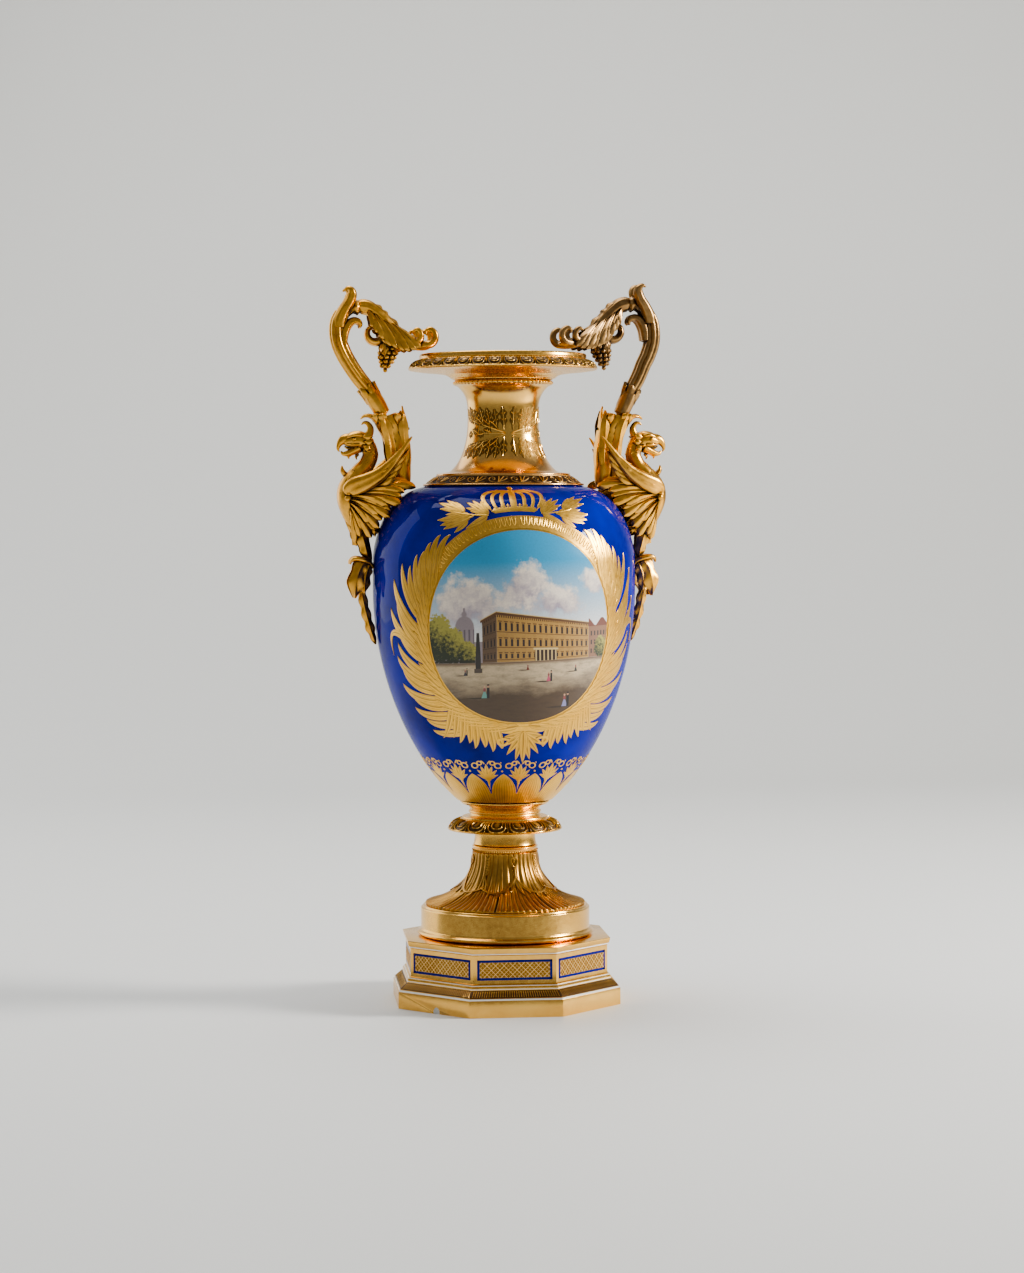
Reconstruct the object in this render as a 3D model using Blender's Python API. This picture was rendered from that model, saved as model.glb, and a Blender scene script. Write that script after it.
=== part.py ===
"""Two-handled porcelain vase on an octagonal plinth, with gilt-bronze griffin handles.

The vase is a stack of turned porcelain pieces on one axis. The medallion side faces -Y and the handles
stand at -X (left) and +X (right). Sizes are in millimetres, and `metres` turns them into scene units.
The origin is the centre of the underside, with +Z up.
"""

import math

import bmesh
import bpy
from mathutils import Matrix, Vector

# ---------------------------------------------------------------- driving sizes, in millimetres and degrees
GAP = 0.3                # clearance between neighbouring pieces
WALL = 7.0               # porcelain wall thickness

PLINTH_TOP = 75.5        # height of the plinth
PLINTH_BLOCK = 126.3     # centre to flat of the bottom block
PLINTH_DIE = 112.0       # centre to flat of the panelled middle
PLINTH_CORNICE = 115.2   # centre to flat of the top edge
PLINTH_TURN = -3.1       # the plinth stands turned a little against the medallion
CHIP_ANGLE = -136.0      # where the chip is on the bottom edge
CHIP_SIZE = 4.0          # half length of the chip

FOOT_TOP = 178.3
DRUM_RADIUS = 96.8
DRUM_TOP = 107.6
FOOT_NECK = 37.0         # foot radius under the ring
LEAF_COUNT = 9           # broad leaves round the foot
LEAF_DEPTH = 1.6

KNOP_TOP = 230.0
KNOP_BORE = 24.0
FLANGE_RADIUS = 65.8

BODY_TOP = 589.7
BODY_RADIUS = 151.0
BELLY_LOW = 470.9        # the widest part runs from here ...
BELLY_HIGH = 506.2       # ... to here
FLANK_LENGTH = 268.9     # the flank would close to a point this far below the widest part,
SHOULDER_LENGTH = 86.7   # and the shoulder this far above it
BODY_FLOOR = 238.0       # inside bottom
BODY_MOUTH = 56.0        # opening in the shoulder, under the neck

NECK_TOP = 711.0
NECK_WAIST = 40.9        # smallest neck radius
NECK_WAIST_HEIGHT = 670.0
NECK_FLANGE = 93.0

MOUTH_TOP = 741.0
LIP_RADIUS = 96.0
EDGE_RADIUS = 109.3      # outer edge of the egg-and-dart band
EDGE_HEIGHT = 724.5

LEFT_HANDLE_OUT = 0.6    # the handles stand this much further out than they are drawn below
RIGHT_HANDLE_OUT = 1.8
RIGHT_HANDLE_TURN = 4.5  # the right handle is set a little towards the back
LEFT_STEM_BEND = -2.0    # how far each stem is bent towards the mouth,
RIGHT_STEM_BEND = 8.0
LEFT_ARCH_SHIFT = -2.0   # how far its arch reaches further in over the rim,
RIGHT_ARCH_SHIFT = 15.5
RIGHT_ARCH_RISE = 7.0    # and how far the arch is lifted at its outer end
STEM_FOOT = 673.5        # height where the bend of a stem starts ...
STEM_BEND_TOP = 728.0    # ... and where it is complete
STEM_TOP = 788.0
RIM_REACH = 77.0         # reach of the volutes inside the rim
BUD_REACH = 177.0        # reach of the twin buds

CAST_VOXEL = 2.2         # grain at which the parts of a casting are fused
GRIFFIN_FACES = 650
SCROLL_FACES = 520


def metres(value):
    """Turn millimetres into metres."""
    return value * 0.001


# ---------------------------------------------------------------- helpers
def material(name, colour, roughness, metallic):
    """A Principled material in one colour."""
    found = bpy.data.materials.new(name)
    found.use_nodes = True
    shader = found.node_tree.nodes["Principled BSDF"]
    shader.inputs["Base Color"].default_value = (*colour, 1.0)
    shader.inputs["Roughness"].default_value = roughness
    shader.inputs["Metallic"].default_value = metallic
    return found


def add_object(name, bm, finish, sharp_angle=35.0):
    """Close a bmesh's normals and put it in the scene under its own name and finish."""
    bmesh.ops.recalc_face_normals(bm, faces=bm.faces)
    mesh = bpy.data.meshes.new(name)
    bm.to_mesh(mesh)
    bm.free()
    mesh.materials.append(finish)
    mesh.shade_smooth()
    mesh.set_sharp_from_angle(angle=math.radians(sharp_angle))
    made = bpy.data.objects.new(name, mesh)
    bpy.context.scene.collection.objects.link(made)
    return made


def bow(start, end, sag, steps):
    """Points from start to end on an arc that stands out by sag to the left of the way there."""
    (r0, z0), (r1, z1) = start, end
    length = math.hypot(r1 - r0, z1 - z0)
    side_r, side_z = -(z1 - z0) / length, (r1 - r0) / length
    points = []
    for i in range(steps + 1):
        t = i / steps
        rise = 4.0 * t * (1.0 - t) * sag
        points.append((r0 + (r1 - r0) * t + side_r * rise, z0 + (z1 - z0) * t + side_z * rise))
    return points


def bezier(p0, p1, p2, p3, steps):
    """Points on a cubic curve."""
    points = []
    for i in range(steps + 1):
        t = i / steps
        s = 1.0 - t
        weights = (s ** 3, 3 * s * s * t, 3 * s * t * t, t ** 3)
        points.append(tuple(sum(w * p[k] for w, p in zip(weights, (p0, p1, p2, p3))) for k in (0, 1)))
    return points


def turned(name, profile, segments, finish, start_angle=0.0, leaves=0, sharp_angle=35.0):
    """Turn a closed profile of (radius, height) about the axis.

    A point may have a third value, the depth of the leaves that swell the wall there.
    """
    bm = bmesh.new()
    rings = []
    for radius, height, *swell in profile:
        depth = swell[0] if swell else 0.0
        if radius == 0.0:
            rings.append([bm.verts.new((0.0, 0.0, metres(height)))])
            continue
        ring = []
        for k in range(segments):
            angle = math.radians(start_angle) + 2.0 * math.pi * k / segments
            reach = radius + depth * math.cos(leaves * angle)
            ring.append(bm.verts.new((
                metres(reach * math.cos(angle)), metres(reach * math.sin(angle)), metres(height))))
        rings.append(ring)
    for ring, following in zip(rings, rings[1:] + rings[:1]):
        if len(ring) == 1 and len(following) == 1:
            continue
        for k in range(segments):
            nxt = (k + 1) % segments
            corners = [ring[k % len(ring)], ring[nxt % len(ring)],
                       following[nxt % len(following)], following[k % len(following)]]
            bm.faces.new(list(dict.fromkeys(corners)))
    return add_object(name, bm, finish, sharp_angle)


def smooth_run(stations, steps):
    """More stations on a smooth curve through the given ones (Catmull-Rom), value by value."""
    ends = [stations[0]] + list(stations) + [stations[-1]]
    run = []
    for a, b, c, d in zip(ends, ends[1:], ends[2:], ends[3:]):
        for i in range(steps):
            t = i / steps
            run.append(tuple(
                0.5 * (2 * q + (r - p) * t + (2 * p - 5 * q + 4 * r - s) * t * t
                       + (3 * q - p - 3 * r + s) * t ** 3)
                for p, q, r, s in zip(a, b, c, d)))
    run.append(tuple(stations[-1]))
    return run


def bar(bm, stations, sides=8, steps=3):
    """A closed bar through stations of (reach, across, height, half thickness, half width across)."""
    run = smooth_run(stations, steps)
    rings = []
    for i, (reach, across, height, thick, wide) in enumerate(run):
        before = Vector(run[max(i - 1, 0)][:3])
        after = Vector(run[min(i + 1, len(run) - 1)][:3])
        along = (after - before).normalized()
        sideways = (Vector((0, 1, 0)) - along * along.y).normalized()
        outward = sideways.cross(along)
        centre = Vector((reach, across, height))
        ring = []
        for k in range(sides):
            angle = 2.0 * math.pi * (k + 0.5) / sides
            place = centre + outward * (thick * math.cos(angle)) + sideways * (wide * math.sin(angle))
            ring.append(bm.verts.new(place * 0.001))
        rings.append(ring)
    for ring, following in zip(rings, rings[1:]):
        for k in range(sides):
            nxt = (k + 1) % sides
            bm.faces.new((ring[k], ring[nxt], following[nxt], following[k]))
    bm.faces.new(rings[0][::-1])
    bm.faces.new(rings[-1])


def cast(name, bm, faces, finish, placing):
    """Fuse a casting's bars into one skin, thin it to a face count, and stand it in its place."""
    made = add_object(name, bm, finish, sharp_angle=60.0)
    made.data.transform(placing)
    if placing.determinant() < 0:
        made.data.flip_normals()
    fuse = made.modifiers.new("fuse", "REMESH")
    fuse.mode = "VOXEL"
    fuse.voxel_size = metres(CAST_VOXEL)
    fused = made.evaluated_get(bpy.context.evaluated_depsgraph_get())
    triangles = sum(len(p.vertices) - 2 for p in fused.data.polygons)
    thin = made.modifiers.new("thin", "DECIMATE")
    thin.ratio = faces / triangles
    thin.use_collapse_triangulate = True
    return made


# ---------------------------------------------------------------- finishes
for old in list(bpy.data.objects):
    bpy.data.objects.remove(old, do_unlink=True)

gilt_porcelain = material("gilt porcelain", (0.83, 0.55, 0.20), 0.22, 1.0)
cobalt_glaze = material("cobalt glaze", (0.01, 0.02, 0.32), 0.10, 0.0)
gilt_bronze = material("gilt bronze", (0.72, 0.45, 0.16), 0.34, 1.0)
dark_iron = material("dark iron", (0.05, 0.05, 0.055), 0.50, 1.0)


# ---------------------------------------------------------------- plinth: an octagonal porcelain box, open below
# Steps are (centre to flat, height), round the outside from the top centre and back up the inside.
PLINTH_STEPS = (
    (0.0, PLINTH_TOP), (PLINTH_CORNICE, PLINTH_TOP), (PLINTH_CORNICE, 69.6), (PLINTH_DIE + 1.4, 69.2),
    (PLINTH_DIE + 1.4, 67.7), (PLINTH_DIE, 67.2), (PLINTH_DIE, 35.4), (PLINTH_DIE + 2.0, 34.6),
    (PLINTH_DIE + 3.6, 33.0), (PLINTH_DIE + 3.6, 29.6), (PLINTH_DIE + 4.4, 28.9),
    (PLINTH_BLOCK - 2.0, 21.5), (PLINTH_BLOCK, 20.8), (PLINTH_BLOCK, 0.0),
    (PLINTH_BLOCK - WALL, 0.0), (PLINTH_BLOCK - WALL, 14.0), (PLINTH_DIE - WALL, 32.0),
    (PLINTH_DIE - WALL, PLINTH_TOP - 9.0), (0.0, PLINTH_TOP - 9.0),
)
plinth = turned("plinth", [(flat / math.cos(math.pi / 8), height) for flat, height in PLINTH_STEPS], 8,
                gilt_porcelain, start_angle=22.5 + PLINTH_TURN, sharp_angle=20.0)

# The chip on the bottom edge of the front left face.
bm = bmesh.new()
bmesh.ops.create_icosphere(bm, subdivisions=1, radius=metres(CHIP_SIZE))
chip = add_object("chip_cutter", bm, gilt_porcelain)
chip_reach = metres(PLINTH_BLOCK + 0.9)
chip.scale = (0.55, 1.0, 1.25)
chip.rotation_euler = (0.2, 0.1, math.radians(CHIP_ANGLE))
chip.location = (chip_reach * math.cos(math.radians(CHIP_ANGLE)),
                 chip_reach * math.sin(math.radians(CHIP_ANGLE)), metres(1.0))
chip.hide_render = True
chip.display_type = "WIRE"
knock = plinth.modifiers.new("chip", "BOOLEAN")
knock.operation = "DIFFERENCE"
knock.object = chip


# ---------------------------------------------------------------- foot: drum below, leafed trumpet above, hollow
trumpet = bezier((FOOT_NECK + 0.4, 169.0), (38.5, 142.0), (53.0, 122.0), (91.0, 113.0), 6)
leafed = [
    (radius, height, LEAF_DEPTH * math.sin(math.pi * i / (len(trumpet) - 1)))
    for i, (radius, height) in enumerate(trumpet)
]
foot_outside = (
    [(KNOP_BORE, FOOT_TOP), (35.4, FOOT_TOP)]
    + bow((35.8, 178.0), (35.8, 174.6), 1.4, 2)
    + [(FOOT_NECK - 0.4, 172.2)]
    + leafed
    + [(92.0, 110.6), (DRUM_RADIUS, DRUM_TOP), (DRUM_RADIUS, 83.0)]
    + bow((DRUM_RADIUS + 1.0, 82.4), (DRUM_RADIUS + 1.0, 76.4), 3.6, 2)
    + [(DRUM_RADIUS, PLINTH_TOP + GAP)]
)
foot_inside = (
    [(DRUM_RADIUS - WALL, PLINTH_TOP + GAP), (DRUM_RADIUS - WALL, 101.0)]
    + bezier((78.0, 105.0), (46.0, 112.0), (30.0, 132.0), (28.0, 158.0), 2)
)
foot = turned("foot", foot_outside + foot_inside, 36, gilt_porcelain, leaves=LEAF_COUNT)


# ---------------------------------------------------------------- knop: ring, waist, egg-and-dart flange and collar
KNOP_OUTSIDE = (
    [(KNOP_BORE, KNOP_TOP), (48.5, KNOP_TOP)]
    + bow((50.2, 229.6), (50.2, 226.6), 0.9, 2)
    + bow((49.0, 225.8), (40.2, 219.2), -1.6, 2)
    + [(39.4, 216.4), (39.2, 213.6)]
    + [(48.7, 211.0), (49.4, 209.0)]
    + bow((49.6, 208.4), (FLANGE_RADIUS, 196.6), 3.4, 3)
    + [(62.6, 195.2), (34.4, 195.0), (34.6, 187.0), (35.8, FOOT_TOP + GAP)]
)
knop = turned("knop", KNOP_OUTSIDE + [(KNOP_BORE, FOOT_TOP + GAP)], 26, gilt_porcelain)


# ---------------------------------------------------------------- body: the cobalt vessel, hollow and open above
def belly(height, wall=0.0):
    """Radius of the vessel at a height; wall is taken off its sizes for the inside."""
    radius = BODY_RADIUS - wall
    if height < BELLY_LOW:
        t = (BELLY_LOW - height) / (FLANK_LENGTH - 1.5 * wall)
        return radius * (1.0 - t ** 1.904) ** 0.614
    if height > BELLY_HIGH:
        t = (height - BELLY_HIGH) / (SHOULDER_LENGTH - wall)
        return radius * (1.0 - t ** 1.54) ** 0.179
    return radius


def spaced(high, low, steps, crowd):
    """Heights from high to low, closer together near high for crowd below 1."""
    return [high - (high - low) * (i / steps) ** (1.0 / crowd) for i in range(steps + 1)]


shoulder = spaced(BODY_TOP, BELLY_HIGH, 5, 0.55)
flank = spaced(BELLY_LOW, KNOP_TOP + GAP, 7, 0.9)
body_outside = [(belly(z), z) for z in shoulder + flank]
lining = [BODY_FLOOR, 265.0, 310.0, 370.0, 490.0, 545.0, 575.0]
body_inside = [(belly(z, WALL), z) for z in lining]
body_profile = (
    [(BODY_MOUTH, BODY_TOP)] + body_outside + [(0.0, KNOP_TOP + GAP), (0.0, BODY_FLOOR)]
    + body_inside + [(BODY_MOUTH, BODY_TOP - WALL - 0.7)]
)
body = turned("body", body_profile, 36, cobalt_glaze)


# ---------------------------------------------------------------- neck: flared tube with a frieze and a ribbed ring
def throat(height):
    """Radius of the neck at a height."""
    away = height - NECK_WAIST_HEIGHT
    if away > 0:
        return NECK_WAIST + 9.7 * (away / 32.7) ** 3.4
    t = -away / 64.0
    return NECK_WAIST + 18.0 * t ** 2.5 + 3.8 * t ** 12


neck_bottom = BODY_TOP + GAP
neck_outside = (
    [(36.0, NECK_TOP), (55.4, NECK_TOP)]
    + bow((57.2, 710.2), (57.2, 705.8), 0.8, 2)
    + [(55.0, 705.0)]
    + [(throat(z), z) for z in (702.7, 697.0, 688.0, 670.0, 650.0, 632.0, 618.0, 610.0, 606.0)]
    + [(76.4, 603.0), (78.0, 601.8), (NECK_FLANGE - 1.6, 591.8), (NECK_FLANGE, neck_bottom)]
)
neck_inside = [(BODY_MOUTH, neck_bottom), (50.0, 606.0)] + [
    (throat(z) - WALL, z) for z in (628.0, 650.0, 680.0)]
neck = turned("neck", neck_outside + neck_inside, 30, gilt_porcelain)


# ---------------------------------------------------------------- mouth: a wide dish, open into the neck
mouth_outside = (
    [(LIP_RADIUS - 3.0, MOUTH_TOP), (LIP_RADIUS, MOUTH_TOP), (LIP_RADIUS + 0.6, 736.0)]
    + bow((LIP_RADIUS + 1.2, 735.0), (EDGE_RADIUS, EDGE_HEIGHT), 2.0, 3)
    + [(EDGE_RADIUS - 1.2, EDGE_HEIGHT - 1.0), (73.0, 719.0)]
    + bow((70.0, 718.4), (58.0, 713.2), -1.0, 2)
    + [(55.6, NECK_TOP + GAP)]
)
mouth_inside = [(36.0, NECK_TOP + GAP), (38.0, 716.0), (56.0, 724.0), (78.0, 730.0), (90.0, 736.0)]
mouth = turned("mouth", mouth_outside + mouth_inside, 36, gilt_porcelain)


# ---------------------------------------------------------------- handles: two gilt-bronze castings a side
# Stations are (reach from the axis, across, height, half thickness, half width across).
def griffin_bars(bm):
    """Leaf cup on its trunk, griffin with head, neck and breast, wings, acanthus and hanging leaf."""
    bar(bm, [(115, 0, 586, 6, 8), (116, 0, 597, 10, 11), (119, 0, 620, 13, 12.5), (121, 0, 640, 13, 12.5),
             (126, 0, 651, 14, 13), (131, 0, 660, 16, 16), (132, 0, 663.5, 16.5, 17)], sides=10)
    bar(bm, [(138, 0, 655, 5, 9), (145, 0, 665.5, 3.6, 8), (154, 0, 669.8, 2.6, 6), (163.5, 0, 668, 1.4, 2)])
    bar(bm, [(116.5, 0, 655, 4, 8), (115.5, 0, 669, 3, 7), (116, 0, 682, 1.2, 1.5)])
    for side in (-1, 1):
        bar(bm, [(128, 13 * side, 652, 7, 4), (127, 18 * side, 664, 8, 3), (125, 24 * side, 671, 6, 2.2)])
    # neck, head, open beak and crest
    bar(bm, [(175, 0, 588, 13, 15), (167.5, 0, 603.5, 10.5, 12), (158, 0, 614, 10, 10), (153, 0, 626, 9.4, 9),
             (156, 0, 637, 9.5, 9), (166, 0, 641.5, 10.5, 10), (177, 0, 640.5, 8.5, 8), (182, 0, 639, 4, 5)],
        sides=10)
    bar(bm, [(176, 0, 643, 5, 6), (184, 0, 642.5, 4, 4.5), (190, 0, 639.5, 2.8, 3), (191.6, 0, 634.5, 1.3, 1.4)])
    bar(bm, [(168, 0, 634, 5, 6), (177, 0, 629.8, 3.4, 4), (184, 0, 628, 2.2, 2.6), (188, 0, 629, 1.2, 1.3)])
    bar(bm, [(157, 0, 646, 5, 4), (155.5, 0, 655, 3.4, 3), (156.5, 0, 660, 2.6, 2.2), (160.5, 0, 661, 1.4, 1.4)])
    for side in (-1, 1):
        bar(bm, [(170, 7 * side, 643.5, 3, 3), (161, 10 * side, 643.5, 3.4, 3), (153, 12 * side, 644, 1.4, 1.4)])
    # breast, falling into a leaf tip
    bar(bm, [(169.5, 0, 606, 8, 11), (178, 0, 590, 12.3, 17), (180.5, 0, 575, 12, 18), (176, 0, 557, 9.6, 14),
             (172.5, 0, 545, 6, 8), (172, 0, 533, 3.8, 4), (173.2, 0, 523, 1.6, 1.8)], sides=10)
    for side in (-1, 1):
        # wing: heavy wrist, long arm, pointed tip past the trunk
        bar(bm, [(176, 17 * side, 588, 8, 6), (166, 24 * side, 593, 10, 7), (146, 29 * side, 601, 9.5, 6),
                 (129, 30 * side, 618, 7, 4.5), (118, 30 * side, 633, 4.4, 3.2), (109, 30 * side, 646, 1.5, 1.6)])
        # acanthus swept back under the wing
        for tip, middle, thick in (
            ((104, 20 * side, 591), (134, 26 * side, 594), 5.5),
            ((129, 29 * side, 567), (150, 29 * side, 580), 6.5),
            ((140, 27 * side, 561), (158, 28 * side, 572), 6.0),
            ((146, 25 * side, 553), (165, 26 * side, 560), 5.5),
            ((149, 16 * side, 532), (163, 17 * side, 543), 5.0),
        ):
            bar(bm, [(178, 18 * side, 580, 6, 4), (*middle, thick, 3.6), (*tip, 0.5 * thick, 2)], sides=6)
        bar(bm, [(143, 24 * side, 588, 7, 3), (151, 25 * side, 572, 9, 3), (157, 22 * side, 553, 8, 3),
                 (160, 16 * side, 537, 6, 3)], sides=6)
        # shoulder feathers that tie the wing to the breast and the trunk
        bar(bm, [(170, 12 * side, 592, 10, 8), (148, 16 * side, 590, 8, 9), (124, 12 * side, 597, 7, 8)])
    # hanging stalk, turned leaf and tail leaf
    bar(bm, [(172, 0, 556, 8, 9), (164.5, 0, 540, 7.5, 8), (160, 0, 524, 6.8, 7), (157, 0, 508, 6.4, 7),
             (158.5, 0, 492, 5.5, 8), (160, 0, 474, 4.5, 10), (157.5, 0, 455, 4, 9), (154.5, 0, 435, 3.6, 7),
             (150.5, 0, 418, 2.6, 4.5), (148, 0, 409, 1.4, 1.6)])
    bar(bm, [(174, 0, 507, 4, 8), (169, 0, 497, 8, 14), (168, 0, 482, 10, 16), (170, 0, 466, 6, 12)])


def scroll_bars(bm, bend, shift, rise):
    """Fluted stem with twin buds and hook, collar, acanthus arch, volutes and grapes.

    The stem is bent in by bend, and all that it carries is moved in by shift and up by a share of rise.
    """
    def lift(reach):
        return rise * max((reach - RIM_REACH) / (BUD_REACH - RIM_REACH), 0.45)

    def upper(stations, sides=8, steps=3):
        bar(bm, [(reach - shift, across, height + lift(reach), *size)
                 for reach, across, height, *size in stations], sides, steps)

    stem = []
    for reach, height, thick, wide in (
        (138.5, STEM_FOOT, 8.6, 10), (141, 678, 9, 10.5), (144, 684, 9.2, 11), (150, 693, 9.2, 11),
        (155.5, 702, 9.0, 11), (162.7, 711.5, 9.3, 11), (169, 720.7, 9.3, 11), (174.7, 730, 9.4, 11),
        (180.5, 740, 9.6, 11), (186, 753, 9.8, 11.5), (188, 765, 10, 12), (187.5, 777, 9.6, 12.5),
        (183.5, STEM_TOP, 8.6, 13),
    ):
        share = min((height - STEM_FOOT) / (STEM_BEND_TOP - STEM_FOOT), 1.0) ** 1.3
        top_share = ((height - STEM_FOOT) / (STEM_TOP - STEM_FOOT)) ** 3
        stem.append((reach - bend * share - (shift - bend) * top_share, 0, height + rise * top_share,
                     thick, wide))
    bar(bm, stem, sides=10, steps=2)
    for side in (-1, 1):
        upper([(186, 8 * side, 780, 8, 6), (181, 9 * side, 791, 7, 6), (175.5, 10 * side, 800, 6.2, 5.5),
               (172, 11 * side, 808, 5.8, 5), (172.5, 12.5 * side, 814, 4.6, 4),
               (175.5, 13 * side, 816.5, 1.6, 1.6)])
    upper([(184, 0, 780, 7, 9), (177.5, 0, 789, 6, 8), (169, 0, 794, 6, 7.5), (163, 0, 795, 8, 8.5),
           (156, 0, 794.5, 8.4, 9.5), (145.5, 0, 789.5, 8.8, 11), (136.5, 0, 782, 9.4, 13),
           (128, 0, 773, 10.4, 14), (118.5, 0, 764, 8.6, 13), (108, 0, 756.5, 6, 10), (97, 0, 752.5, 4.6, 9),
           (87, 0, 751, 3.6, 10)], sides=10)
    for side in (-1, 1):
        upper([(182, 4 * side, 768, 4.5, 6), (177, 4 * side, 776, 4.2, 6), (170.5, 4.5 * side, 779, 3.6, 5),
               (165, 5 * side, 777.5, 2.8, 3.5), (166, 5 * side, 774.5, 1.5, 1.8)])
    # leaf behind the arch that rolls up into a volute
    upper([(133, 0, 766, 5, 9), (137, 0, 757.5, 4.8, 8), (145, 0, 755.5, 4.4, 8), (151, 0, 760.5, 3.6, 8),
           (150, 0, 767, 3, 7), (145, 0, 768, 1.8, 4)])
    # grapes
    upper([(127, 0, 760, 6, 6), (128.5, 0, 748, 9, 10), (131, 0, 737, 8.6, 9.5), (133, 0, 727, 5.4, 6),
           (133.5, 0, 721, 1.8, 2)])
    for side in (-1, 1):
        # leaf lobes that stand on the rim, and the rolled tips inside it
        upper([(118, 9 * side, 761, 5, 5), (110, 17 * side, 753, 5.5, 3), (106, 21 * side, 744.5, 3, 2)])
        upper([(110, 10 * side, 757, 5, 5), (101, 19 * side, 752, 4.6, 3), (96, 23 * side, 746, 2.4, 2)])
        upper([(101, 8 * side, 753, 4.4, 6), (91, 16 * side, 750.3, 3.8, 5), (83, 21 * side, 750, 3.4, 4),
               (77.4, 23 * side, 756, 3.4, 3.6), (77, 23 * side, 764.5, 3.2, 3.4), (81.5, 23 * side, 769, 2.9, 3.2),
               (87, 23 * side, 767.5, 1.4, 1.6)])


def screw(name, placing):
    """The dark screw head on the inner side of a leaf cup."""
    bm = bmesh.new()
    turn = Matrix.Rotation(math.radians(90.0), 4, "Y")
    bmesh.ops.create_cone(bm, cap_ends=True, segments=10, radius1=metres(1.7), radius2=metres(1.4),
                          depth=metres(2.6), matrix=Matrix.Translation((metres(109.2), 0, metres(656))) @ turn)
    made = add_object(name, bm, dark_iron)
    made.data.transform(placing)
    if placing.determinant() < 0:
        made.data.flip_normals()
    return made


left_place = (Matrix.Scale(-1.0, 4, (1, 0, 0))
              @ Matrix.Translation((metres(LEFT_HANDLE_OUT), 0, 0)))
right_place = (Matrix.Rotation(math.radians(RIGHT_HANDLE_TURN), 4, "Z")
               @ Matrix.Translation((metres(RIGHT_HANDLE_OUT), 0, 0)))

for side_name, placing, bend, shift, rise in (
    ("left", left_place, LEFT_STEM_BEND, LEFT_ARCH_SHIFT, 0.0),
    ("right", right_place, RIGHT_STEM_BEND, RIGHT_ARCH_SHIFT, RIGHT_ARCH_RISE),
):
    bm = bmesh.new()
    griffin_bars(bm)
    cast(f"handle_{side_name}_griffin", bm, GRIFFIN_FACES, gilt_bronze, placing)
    bm = bmesh.new()
    scroll_bars(bm, bend, shift, rise)
    cast(f"handle_{side_name}_scroll", bm, SCROLL_FACES, gilt_bronze, placing)
    screw(f"handle_{side_name}_screw", placing)
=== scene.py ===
"""Large two-handled porcelain vase with a painted medallion and gilt-bronze griffin handles.

It is dressed from the plinth up, in the order in which the real vase is put together.
Sizes are in millimetres; `MM` takes them to the scene's metres when a mesh is made.
"""

import math
from functools import partial

import bmesh
import bpy
import numpy as np
from mathutils import Matrix, Vector
from mathutils.bvhtree import BVHTree


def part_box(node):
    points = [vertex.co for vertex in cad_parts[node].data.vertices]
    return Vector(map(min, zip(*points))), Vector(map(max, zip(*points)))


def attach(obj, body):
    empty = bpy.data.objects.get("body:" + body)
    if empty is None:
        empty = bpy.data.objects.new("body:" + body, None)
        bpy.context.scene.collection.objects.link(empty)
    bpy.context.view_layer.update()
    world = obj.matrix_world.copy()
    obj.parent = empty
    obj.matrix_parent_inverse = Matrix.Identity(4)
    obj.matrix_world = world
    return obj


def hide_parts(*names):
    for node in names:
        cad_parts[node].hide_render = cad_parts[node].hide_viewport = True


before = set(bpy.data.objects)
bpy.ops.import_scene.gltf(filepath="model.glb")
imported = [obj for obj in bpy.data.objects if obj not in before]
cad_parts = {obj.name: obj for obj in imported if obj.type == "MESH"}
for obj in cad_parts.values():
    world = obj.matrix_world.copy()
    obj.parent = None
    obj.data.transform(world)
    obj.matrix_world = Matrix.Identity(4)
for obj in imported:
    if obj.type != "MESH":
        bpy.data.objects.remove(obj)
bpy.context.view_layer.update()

MM = 0.001


# ======================================================================= the studio
# A pale floor that runs out of sight, a soft light from the right, a large weak panel behind on the left
# and a softbox overhead, so that turned gilding shows long bright bands with darker ones between.
def finish(name, colour=(0.8, 0.8, 0.8), roughness=0.5, metallic=0.0, more={}):
    """A Principled material with plain values."""
    made = bpy.data.materials.new(name)
    made.use_nodes = True
    shader = made.node_tree.nodes["Principled BSDF"]
    values = {"Base Color": (*colour, 1.0), "Roughness": roughness, "Metallic": metallic, **more}
    for entry, value in values.items():
        shader.inputs[entry].default_value = value
    return made


def placed(name, data):
    """A new object at the origin."""
    made = bpy.data.objects.new(name, data)
    bpy.context.scene.collection.objects.link(made)
    return made


def shaded(mesh, smooth_below):
    """Shade a mesh smooth between edges sharper than an angle."""
    mesh.shade_smooth()
    mesh.set_sharp_from_angle(angle=math.radians(smooth_below))
    return mesh


def piece_from(name, bm, material, smooth_below=40.0):
    """Turn a bmesh in millimetres into an object at the origin."""
    bmesh.ops.scale(bm, vec=(MM, MM, MM), verts=bm.verts)
    mesh = bpy.data.meshes.new(name)
    bm.to_mesh(mesh)
    bm.free()
    mesh.materials.append(material)
    return placed(name, shaded(mesh, smooth_below))


FLOOR_HALF_WIDTH, FLOOR_FRONT, WALL_HEIGHT = 8.0, -7.0, 6.0      # metres
SWEEP_START, SWEEP_RADIUS = 2.4, 1.2
sweep = bmesh.new()
bends = [math.radians(angle) for angle in range(0, 91, 6)]
run = [(SWEEP_START + SWEEP_RADIUS * math.sin(a), SWEEP_RADIUS - SWEEP_RADIUS * math.cos(a)) for a in bends]
run = [(FLOOR_FRONT, 0.0), *run, (SWEEP_START + SWEEP_RADIUS, WALL_HEIGHT)]
edges = [[sweep.verts.new((x / MM, y / MM, z / MM)) for y, z in run]
         for x in (-FLOOR_HALF_WIDTH, FLOOR_HALF_WIDTH)]
for k in range(len(run) - 1):
    sweep.faces.new((edges[0][k], edges[1][k], edges[1][k + 1], edges[0][k + 1]))
piece_from("floor", sweep, finish("pale floor", (0.78, 0.78, 0.76), 0.6))

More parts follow.
